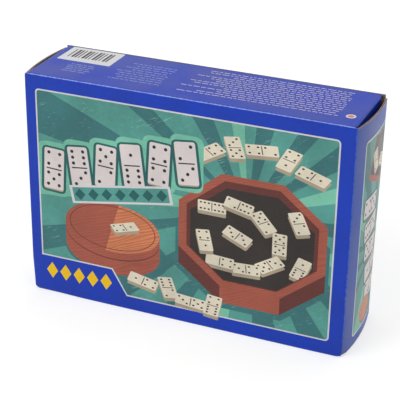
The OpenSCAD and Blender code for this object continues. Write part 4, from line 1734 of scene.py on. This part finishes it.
@dataclass
class WoodenCase:
    """The case's rails, boards and linings."""

    sizes: CaseSizes
    stock: Stock
    soft: float = 0.7
    joint_gap: float = 0.05
    leaf_cut: tuple[float, float, float] = (25.2, 8.1, 0.95)
    lining_gap: float = 0.1
    edge_sink: float = 0.28
    nap_sink: float = 0.14

    def build(self) -> None:
        """Builds every wooden part and both linings."""
        sizes = self.sizes
        levels = (("base", 0.0, sizes.base_height, 1), ("lid", sizes.base_height, sizes.height, -1))
        for part, low, high, cut_side in levels:
            self._hinge_rail(part, low, high, cut_side)
            self._rail(f"{part}_latch_rail", 180.0, sizes.length, sizes.width, low, high, Stuff.RAIL)
            self._rail(f"{part}_right_rail", 90.0, sizes.width, sizes.length, low, high, Stuff.SIDE_RAIL)
            self._rail(f"{part}_left_rail", -90.0, sizes.width, sizes.length, low, high, Stuff.SIDE_RAIL)
        half, under = sizes.inner[0] / 2, sizes.height - sizes.board
        split = half * (2 * sizes.dark_share - 1)
        self._board("base_board", (-half, half), 0.0, Stuff.BASE_BOARD, "light_wood")
        self._board("lid_dark_board", (-half, split), under, Stuff.DARK_BOARD, "dark_wood")
        self._board("lid_light_board", (split, half), under, Stuff.LIGHT_BOARD, "light_wood")
        self._lining("tray_lining", sizes.board, 1)
        self._lining("lid_lining", under - sizes.lining, -1)

    def _seat(self, piece: Workpiece, slot: str, smooth_to: float = 40.0) -> None:
        """Puts a piece in the carton."""
        piece.seat(self.sizes.in_carton, self.stock, smooth_to)

    def _rail_outline(self, length: float) -> list[Point]:
        """Plan of a mitred rail, its outer face at y = 0."""
        half, rail = length / 2 - self.joint_gap, self.sizes.rail
        return [(-half, 0.0), (half, 0.0), (half - rail, rail), (-half + rail, rail)]

    def _rail(self, name: str, turn: float, length: float, across: float, low: float, high: float,
              stuff: Stuff) -> None:
        """Builds one plain rail.

        Args:
            name: name of its node.
            turn: its turn about the case's middle, in degrees.
            length: its own length.
            across: distance between it and its opposite, outside.
            low: height of its lower face.
            high: height of its upper face.
            stuff: its wood.
        """
        piece = Workpiece(name)
        place = Matrix.Rotation(math.radians(turn), 4, "Z") @ Matrix.Translation((0, -across / 2, 0))
        piece.prism(self._rail_outline(length), low, high, stuff, self.soft, place)
        self._seat(piece, "stained_wood")

    def _hinge_rail(self, part: str, low: float, high: float, cut_side: int) -> None:
        """Builds a hinge rail from a full layer and a thin one that is cut out for the leaves.

        Args:
            part: base or lid.
            low: height of its lower face.
            high: height of its upper face.
            cut_side: 1 when the leaves lie in its upper face, -1 when in its lower one.
        """
        wide, deep, thick = self.leaf_cut
        place = Matrix.Translation((0, -self.sizes.width / 2, 0))
        piece = Workpiece(f"{part}_hinge_rail")
        split = high - thick if cut_side > 0 else low + thick
        full, thin = ((low, split), (split, high))[::cut_side]
        outline = self._rail_outline(self.sizes.length)
        piece.prism(outline, *full, Stuff.RAIL, self.soft / 2, place)
        notches = [(middle + side * wide / 2, y) for middle in self.sizes.hinges
                   for side, y in ((-1, 0.0), (-1, deep), (1, deep), (1, 0.0))]
        piece.prism(outline[:1] + notches + outline[1:], *thin, Stuff.RAIL, 0.15, place)
        self._seat(piece, "stained_wood")

    def _board(self, name: str, across: Point, low: float, stuff: Stuff, slot: str) -> None:
        """Builds one board between the rails.

        Args:
            name: name of its node.
            across: its limits along x.
            low: height of its lower face.
            stuff: its wood.
            slot: the record's slot, which is not used.
        """
        half = self.sizes.inner[1] / 2 - self.joint_gap
        left, right = across[0] + self.joint_gap, across[1] - self.joint_gap
        piece = Workpiece(name)
        outline = [(left, -half), (right, -half), (right, half), (left, half)]
        piece.prism(outline, low, low + self.sizes.board, stuff, 0.35)
        self._seat(piece, slot)

    def _lining(self, name: str, low: float, nap_side: int) -> None:
        """Builds a sheet of felt, a little uneven on its open face.

        Args:
            name: name of its node.
            low: height of its lower face.
            nap_side: 1 when its open face is up, -1 when it is down.
        """
        chance = random.Random(len(name))
        half_l, half_w = (value / 2 - self.lining_gap for value in self.sizes.inner)
        columns, rows = 52, 30
        closed, opened = (low, low + self.sizes.lining)[::nap_side]
        piece = Workpiece(name)
        rings = []
        for column in range(columns + 1):
            x = half_l * (2 * column / columns - 1)
            places = [half_w * (2 * row / rows - 1) for row in range(rows + 1)]
            spots = [(x, y, closed) for y in places]
            for row in range(rows, -1, -1):
                edge = row in (0, rows) or column in (0, columns)
                sink = self.edge_sink if edge else chance.uniform(0.0, self.nap_sink)
                spots.append((x, places[row], opened - sink * nap_side))
            rings.append([piece.mesh.verts.new(spot) for spot in spots])
        piece.mark(loft(piece.mesh, rings), Stuff.FELT)
        self._seat(piece, "lining", 60.0)


@dataclass
class CaseFittings:
    """The two butt hinges, the hook, its catch and the small screws."""

    sizes: CaseSizes
    stock: Stock
    leaf: tuple[float, float, float] = (25.0, 8.0, 0.9)
    gap: float = 0.1
    barrel: float = 1.5
    barrel_y: float = -70.6
    pin: float = 0.65
    screw_pitch: float = 16.0
    head: float = 1.7
    head_height: float = 0.9
    shank: float = 0.9
    screw_length: float = 7.0
    slot_depth: float = 0.4
    thread_root: float = 0.72
    reach: float = 8.0
    hook_wide: float = 6.0
    hook_thick: float = 1.0
    hook_lift: float = 1.0
    catch: tuple[float, float, float] = (18.0, 8.0, 0.8)
    catch_pitch: float = 12.0
    stud: float = 1.2

    def build(self) -> None:
        """Builds every fitting."""
        knuckle = (self.leaf[0] - 2 * self.gap) / 3
        outer = (self.leaf[0] - knuckle) / 2
        self._leaves("hinge_base_leaves", knuckle, (-outer, outer), 1)
        self._leaves("hinge_lid_leaves", knuckle, (0.0,), -1)
        self._pins()
        self._hook()
        self._catch()
        self._screws()

    def _lie_along_x(self, x: float) -> Matrix:
        """Lays an upright shape along x in the hinges' axis, its foot at x."""
        place = Matrix.Translation((x, self.barrel_y, self.sizes.base_height))
        return place @ Matrix.Rotation(math.pi / 2, 4, "Y")

    def _on_latch_side(self, x: float, out: float, z: float) -> Matrix:
        """Lays a flat shape on the latch side, its height outward and its y upward."""
        turn = Matrix(((-1, 0, 0, 0), (0, 0, 1, 0), (0, 1, 0, 0), (0, 0, 0, 1)))
        return Matrix.Translation((x, self.sizes.width / 2 + out, self.sizes.base_height + z)) @ turn

    def _seat(self, piece: Workpiece) -> None:
        """Puts a fitting on the case."""
        piece.seat(self.sizes.in_carton, self.stock)

    def _leaves(self, name: str, knuckle: float, knuckles: Sequence[float], side: int) -> None:
        """Builds one kind of leaf for both hinges.

        Args:
            name: name of the node.
            knuckle: length of one knuckle.
            knuckles: middles of the leaf's knuckles.
            side: 1 for the base's leaves, which lie below the parting line, -1 for the lid's.
        """
        wide, deep, thick = self.leaf
        edge, parting = -self.sizes.width / 2, self.sizes.base_height
        low, high = sorted((parting - side * self.gap / 2, parting - side * (self.gap / 2 + thick)))
        outer, inner, end = self.barrel, self.pin + 0.08, knuckle - 0.15
        profile = [(inner, 0.0), (outer - 0.15, 0.0), (outer, 0.15), (outer, end), (outer - 0.15, knuckle),
                   (inner, knuckle), (inner, 0.0)]
        piece = Workpiece(name)
        for middle in self.sizes.hinges:
            left, right = middle - wide / 2, middle + wide / 2
            plate = [(left, edge, 0), (right, edge, 0), (right, edge + deep, 1.2), (left, edge + deep, 1.2)]
            piece.prism(rounded_outline(plate, 3), low, high, Stuff.NICKEL, 0.12)
            for x in knuckles:
                start = middle + x - knuckle / 2
                stop, root = start + knuckle, edge + 0.3
                lead = [(start, self.barrel_y), (stop, self.barrel_y), (stop, root), (start, root)]
                piece.prism(lead, low, high, Stuff.NICKEL, 0.05)
                piece.turned(profile, Stuff.NICKEL, self._lie_along_x(start), 24)
        self._seat(piece)

    def _pins(self) -> None:
        """Builds both hinges' pins with domed ends."""
        piece = Workpiece("hinge_pins")
        wide, radius, neck = self.leaf[0], self.pin, self.pin * 0.6
        profile = [(0, 0.0), (neck, 0.08), (radius, 0.3), (radius, wide - 0.3), (neck, wide - 0.08),
                   (0, wide)]
        for middle in self.sizes.hinges:
            piece.turned(profile, Stuff.NICKEL, self._lie_along_x(middle - wide / 2), 16)
        self._seat(piece)

    def _hook(self) -> None:
        """Builds the hook with a waisted arm, its notch and its boss."""
        half, notch, reach = self.hook_wide / 2, self.stud + 0.2, self.reach
        broad, waist = half * 0.72, half * 0.62
        outline = arc((0.0, reach), half, 0.0, 180.0, 12)
        outline += [(-broad, reach * 0.55), (-waist, 0.0), (-broad, -reach * 0.55)]
        outline += arc((0.0, -reach), half, 180.0, 360.0, 12) + [(half, -reach - notch)]
        outline += arc((0.0, -reach), notch, -90.0, -270.0, 8)
        outline += [(half, -reach + notch), (waist, 0.0), (broad, reach * 0.55)]
        piece = Workpiece("latch_hook")
        piece.prism([(-x, y) for x, y in reversed(outline)], 0.0, self.hook_thick, Stuff.NICKEL, 0.12,
                    self._on_latch_side(0.0, self.hook_lift, 0.0))
        boss, bore, lift = self.head, self.shank + 0.1, self.hook_lift
        profile = [(bore, 0.0), (boss - 0.1, 0.0), (boss, 0.1), (boss, lift), (bore, lift), (bore, 0.0)]
        piece.turned(profile, Stuff.NICKEL, self._on_latch_side(0.0, 0.0, reach))
        self._seat(piece)

    def _catch(self) -> None:
        """Builds the catch plate with cut corners and its headed stud."""
        long, wide, thick = self.catch
        half, cut, top, side = long / 2, long / 2 - 3.2, wide / 2, wide * 0.2
        corners = [(-half, -side, 1.0), (-cut, -top, 1.4), (cut, -top, 1.4), (half, -side, 1.0),
                   (half, side, 1.0), (cut, top, 1.4), (-cut, top, 1.4), (-half, side, 1.0)]
        piece = Workpiece("latch_catch")
        place = self._on_latch_side(0.0, 0.0, -self.reach)
        piece.prism(rounded_outline(corners, 3), 0.0, thick, Stuff.NICKEL, 0.15, place)
        under, cap, foot = self.hook_lift + self.hook_thick + 0.2, self.stud + self.hook_thick, thick - 0.05
        profile = [(0, foot), (self.stud + 0.5, foot), (self.stud, thick + 0.12), (self.stud, under),
                   (cap - 0.1, under), (cap, under + 0.12), (cap, under + 0.6), (cap * 0.7, under + 0.95),
                   (0, under + 1.0)]
        piece.turned(profile, Stuff.NICKEL, place)
        self._seat(piece)

    def _screws(self) -> None:
        """Builds the eleven slotted screws."""
        piece = Workpiece("case_screws")
        row = (-self.sizes.width + self.leaf[1]) / 2
        for x in [middle + side * self.screw_pitch / 2 for middle in self.sizes.hinges for side in (-1, 1)]:
            for side, turn in ((1, 0.0), (-1, math.pi)):
                place = Matrix.Translation((x, row, self.sizes.base_height - side * self.gap / 2))
                self._screw(piece, place @ Matrix.Rotation(turn, 4, "X"), True)
        for x in (-self.catch_pitch / 2, self.catch_pitch / 2):
            self._screw(piece, self._on_latch_side(x, self.catch[2], -self.reach), True)
        self._screw(piece, self._on_latch_side(0.0, self.hook_lift + self.hook_thick, self.reach), False)
        self._seat(piece)

    def _screw(self, piece: Workpiece, place: Matrix, sunk: bool) -> None:
        """Adds one screw that points down from its place.

        Args:
            piece: the piece to add to.
            place: middle of the bearing face, its height outward.
            sunk: whether its head is sunk rather than domed on top.
        """
        shank, length, head_height, threads = self.shank, self.screw_length, self.head_height, 6
        top = 0.0 if sunk else head_height
        slot = top - self.slot_depth
        start = self.head - (self.head - shank) * self.slot_depth / head_height if sunk else self.head
        profile = [(0, slot), (start, slot)]
        profile += [(shank, -head_height)] if sunk else [(start, 0.0), (shank, 0.0)]
        for k in range(threads):
            z = -head_height - 0.6 - k * (length - head_height - 1.8) / threads
            profile += [(shank, z), (shank * self.thread_root, z - 0.35)]
        piece.turned(profile + [(shank * 0.5, -length + 0.6), (0, -length)], Stuff.NICKEL, place, 14)
        for angle in (9.0, 189.0):
            half = arc((0.0, 0.0), start, angle, angle + 162.0, 10)
            piece.prism(half, slot - 0.02, top, Stuff.NICKEL, 0.06, place)


@dataclass
class DominoSet:
    """The double-six set, packed in two layers of two rows."""

    sizes: CaseSizes
    stock: Stock
    tile: tuple[float, float, float] = (28.0, 56.0, 13.0)
    corner: float = 2.0
    soft: float = 0.7
    pip: float = 2.0
    pip_pitch: float = 7.0
    pip_depth: float = 0.6
    groove: Point = (22.0, 1.0)
    per_row: int = 7
    row_play: float = 6.0
    tile_gap: float = 0.3

    def build(self) -> None:
        """Builds the 28 dominoes."""
        wide, long, high = self.tile
        inner_l, inner_w = self.sizes.inner
        between = self.row_play / (self.per_row + 1)
        floor_z = self.sizes.board + self.sizes.lining
        pairs = [(a, b) for a in range(6, -1, -1) for b in range(a, -1, -1)]
        for index, values in enumerate(pairs):
            column, row = index % self.per_row, index // self.per_row % 2
            layer = index // (2 * self.per_row)
            x = -inner_l / 2 + between + wide / 2 + column * (wide + between)
            y = -inner_w / 2 + self.tile_gap + long / 2 + row * (long + self.tile_gap)
            piece = Workpiece(f"domino_{values[0]}_{values[1]}")
            self._tile(piece, values)
            place = self.sizes.in_carton @ Matrix.Translation((x, y, floor_z + layer * high))
            piece.seat(place, self.stock)

    def _tile(self, piece: Workpiece, values: tuple[int, int]) -> None:
        """Shapes one domino.

        Args:
            piece: the piece to add to.
            values: pips of its low and its high half.
        """
        wide, long, high = self.tile
        soft, near = self.soft, self.soft * 0.3
        rings = []
        foot = ((soft, 0.0), (near, near), (0.0, soft))
        for inset, z in foot + tuple((inset, high - z) for inset, z in reversed(foot)):
            x, y = wide / 2 - inset, long / 2 - inset
            rings.append(piece.ring(rounded_box((-x, -y), (x, y), self.corner - inset * 0.8, 3), z))
        piece.mark(loft(piece.mesh, rings, (True, False)), Stuff.IVORY)
        self._face(piece, rings[-1], values)

    def _face(self, piece: Workpiece, rim: Sequence[Vert], values: tuple[int, int]) -> None:
        """Closes a domino's face round its dished pips and its groove.

        Args:
            piece: the piece to add to.
            rim: corners of the face.
            values: pips of its low and its high half.
        """
        high, sunk, half_long = self.tile[2], self.tile[2] - self.pip_depth, self.tile[1] / 4
        x, y = self.groove[0] / 2, self.groove[1] / 2
        slot = piece.ring([(-x, -y), (x, -y), (x, y), (-x, y)], high)
        rings = [list(rim), slot]
        dark: list[Face] = []
        for half, value in zip((-1, 1), values):
            for column, row in pip_grid(value):
                centre = (column * self.pip_pitch, half * half_long + row * self.pip_pitch)
                edge, lower = (piece.ring(ellipse(centre, self.pip * share, self.pip * share, 14), z)
                               for share, z in ((1.0, high), (0.72, high - self.pip_depth * 0.7)))
                rings.append(edge)
                dark += loft(piece.mesh, [edge, lower, piece.ring([centre], sunk)], (False, False))
        verts = [v for ring in rings for v in ring]
        starts = [sum(len(ring) for ring in rings[:k]) for k in range(len(rings))]
        loops = [list(range(start, start + len(ring))) for start, ring in zip(starts, rings)]
        result = delaunay_2d_cdt([v.co.to_2d() for v in verts], [], loops, 1, 1e-5)
        source = [origins[0] for origins in result[3]]
        flat = [piece.mesh.faces.new([verts[source[n]] for n in face])
                for face, held in zip(result[2], result[5]) if list(held) == [0]]
        piece.mark(flat, Stuff.IVORY)
        (a, b, c, d), (left, right) = slot, piece.ring([(0.5 - x, 0.0), (x - 0.5, 0.0)], sunk)
        for corners in ((a, b, right, left), (c, d, left, right), (b, c, right), (d, a, left)):
            dark.append(piece.mesh.faces.new(corners))
        piece.mark(dark, Stuff.PIP_PAINT)


@dataclass
class Studio:
    """Plain pale floor and soft light, and the camera at the photograph's angle."""

    lens: float = 117.52
    place: tuple[float, float, float] = (318.16, -771.36, 485.36)
    target: tuple[float, float, float] = (-0.214, 0.0, 82.427)
    roll: float = 0.843

    def camera(self) -> bpy.types.Object:
        """Makes the camera.

        Returns:
            The camera, set as the scene's own.
        """
        data = bpy.data.cameras.new("camera")
        data.lens = self.lens
        data.sensor_width = 36.0
        data.clip_start, data.clip_end = 0.05, 20.0
        camera = bpy.data.objects.new("camera", data)
        bpy.context.scene.collection.objects.link(camera)
        place, target = Vector(self.place) * MM, Vector(self.target) * MM
        look = (target - place).to_track_quat("-Z", "Y")
        camera.rotation_mode = "QUATERNION"
        camera.rotation_quaternion = look @ Matrix.Rotation(math.radians(self.roll), 4, "Z").to_quaternion()
        camera.location = place
        bpy.context.scene.camera = camera
        return camera

    def backdrop(self) -> bpy.types.Object:
        """Makes the floor, which curves up behind.

        Returns:
            The floor.
        """
        mesh = bmesh.new()
        rows = [(-14.0, 0.0), *arc((1.2, 0.8), 0.8, -90.0, 0.0, 12), (2.0, 3.0)]
        strips = [[mesh.verts.new((x, y, z)) for x in (-14.0, 14.0)] for y, z in rows]
        for here, after in zip(strips, strips[1:]):
            mesh.faces.new((here[0], here[1], after[1], after[0])).smooth = True
        data = bpy.data.meshes.new("floor")
        mesh.to_mesh(data)
        mesh.free()
        floor = bpy.data.objects.new("floor", data)
        bpy.context.scene.collection.objects.link(floor)
        data.materials.append(self._floor_material())
        return floor

    def _seen(self, nodes: Nodes) -> Socket:
        """Mask of the rays that see the background: from the camera, from gloss and through glass."""
        rays = nodes.add("LightPath").outputs
        seen = nodes.maths("MAXIMUM", rays["Is Camera Ray"], rays["Is Glossy Ray"])
        return nodes.maths("MAXIMUM", seen, rays["Is Transmission Ray"])

    def _floor_material(self) -> Material:
        """Makes the pale matt floor, whose own light keeps the background white and leaves the shadow.

        Returns:
            The material.
        """
        material = bpy.data.materials.new("floor_pale")
        material.use_nodes = True
        material.node_tree.nodes.clear()
        nodes = Nodes(material.node_tree)
        matt = nodes.add("BsdfDiffuse", {"Color": (0.86, 0.86, 0.86, 1.0)})
        pale = nodes.add("BsdfDiffuse", {"Color": (0.5, 0.5, 0.5, 1.0)})
        away = nodes.add("VectorMath", {0: nodes.place_mm()}, operation="LENGTH").outputs["Value"]
        strength = nodes.maths("MULTIPLY_ADD", nodes.ramp(away, 300.0, 2000.0), 0.17, 0.62)
        glow = nodes.add("Emission", {"Color": (1.0, 1.0, 1.0, 1.0), "Strength": strength})
        lit = nodes.add("AddShader", {0: pale.outputs[0], 1: glow.outputs[0]})
        mixed = nodes.add("MixShader", {0: self._seen(nodes), 1: matt.outputs[0], 2: lit.outputs[0]})
        nodes.add("OutputMaterial", {"Surface": mixed.outputs[0]})
        return material

    def lights(self) -> None:
        """Adds three soft lamps and an even, pale surrounding."""
        lamps = (("key_lamp", (-0.9, -1.3, 1.5), 1.1, 16.0), ("fill_lamp", (1.7, -0.9, 0.9), 1.4, 4.0),
                 ("top_lamp", (0.1, 0.5, 1.9), 1.6, 9.0))
        for name, place, size, power in lamps:
            data = bpy.data.lights.new(name, "AREA")
            data.size = size
            data.energy = power
            lamp = bpy.data.objects.new(name, data)
            lamp.location = place
            lamp.rotation_mode = "QUATERNION"
            lamp.rotation_quaternion = (Vector((0, 0, 0.08)) - Vector(place)).to_track_quat("-Z", "Y")
            bpy.context.scene.collection.objects.link(lamp)
        world = bpy.data.worlds.new("surrounding")
        world.use_nodes = True
        world.node_tree.nodes.clear()
        nodes = Nodes(world.node_tree)
        plain = nodes.add("Background", {"Color": (1.0, 1.0, 1.0, 1.0), "Strength": 0.45})
        bright = nodes.add("Background", {"Color": (1.0, 1.0, 1.0, 1.0), "Strength": 1.0})
        mixed = nodes.add("MixShader", {0: self._seen(nodes), 1: plain.outputs[0], 2: bright.outputs[0]})
        nodes.add("OutputWorld", {"Surface": mixed.outputs[0]})
        bpy.context.scene.world = world


def main() -> None:
    """Builds the dressed carton, case and dominoes."""
    logging.basicConfig(level=logging.INFO, format="%(name)s: %(message)s")
    bpy.context.scene.view_settings.view_transform = "Standard"
    studio = Studio()
    studio.camera()
    studio.backdrop()
    studio.lights()
    sizes = CartonSizes()
    prints = PanelPrints(sizes)
    half = Vector((sizes.length / 2, sizes.depth / 2, 0.0))
    inks = Stock(Vector((-half.x, -half.y, 0.0)), Vector((half.x, half.y, sizes.height)))
    handling = Handling(half, sizes.height)
    for part in (CartonTube(sizes, prints), EndClosure(1, sizes, prints), EndClosure(-1, sizes, prints)):
        for leaf in part.leaves():
            leaf.build(inks, handling)
    case = CaseSizes()
    stock = Stock(case.in_carton @ Vector((-case.length / 2, -case.width / 2, case.height)),
                  case.in_carton @ Vector((case.length / 2, case.width / 2, 0.0)))
    for part in (WoodenCase(case, stock), CaseFittings(case, stock), DominoSet(case, stock)):
        part.build()


if __name__ == "__main__":
    main()
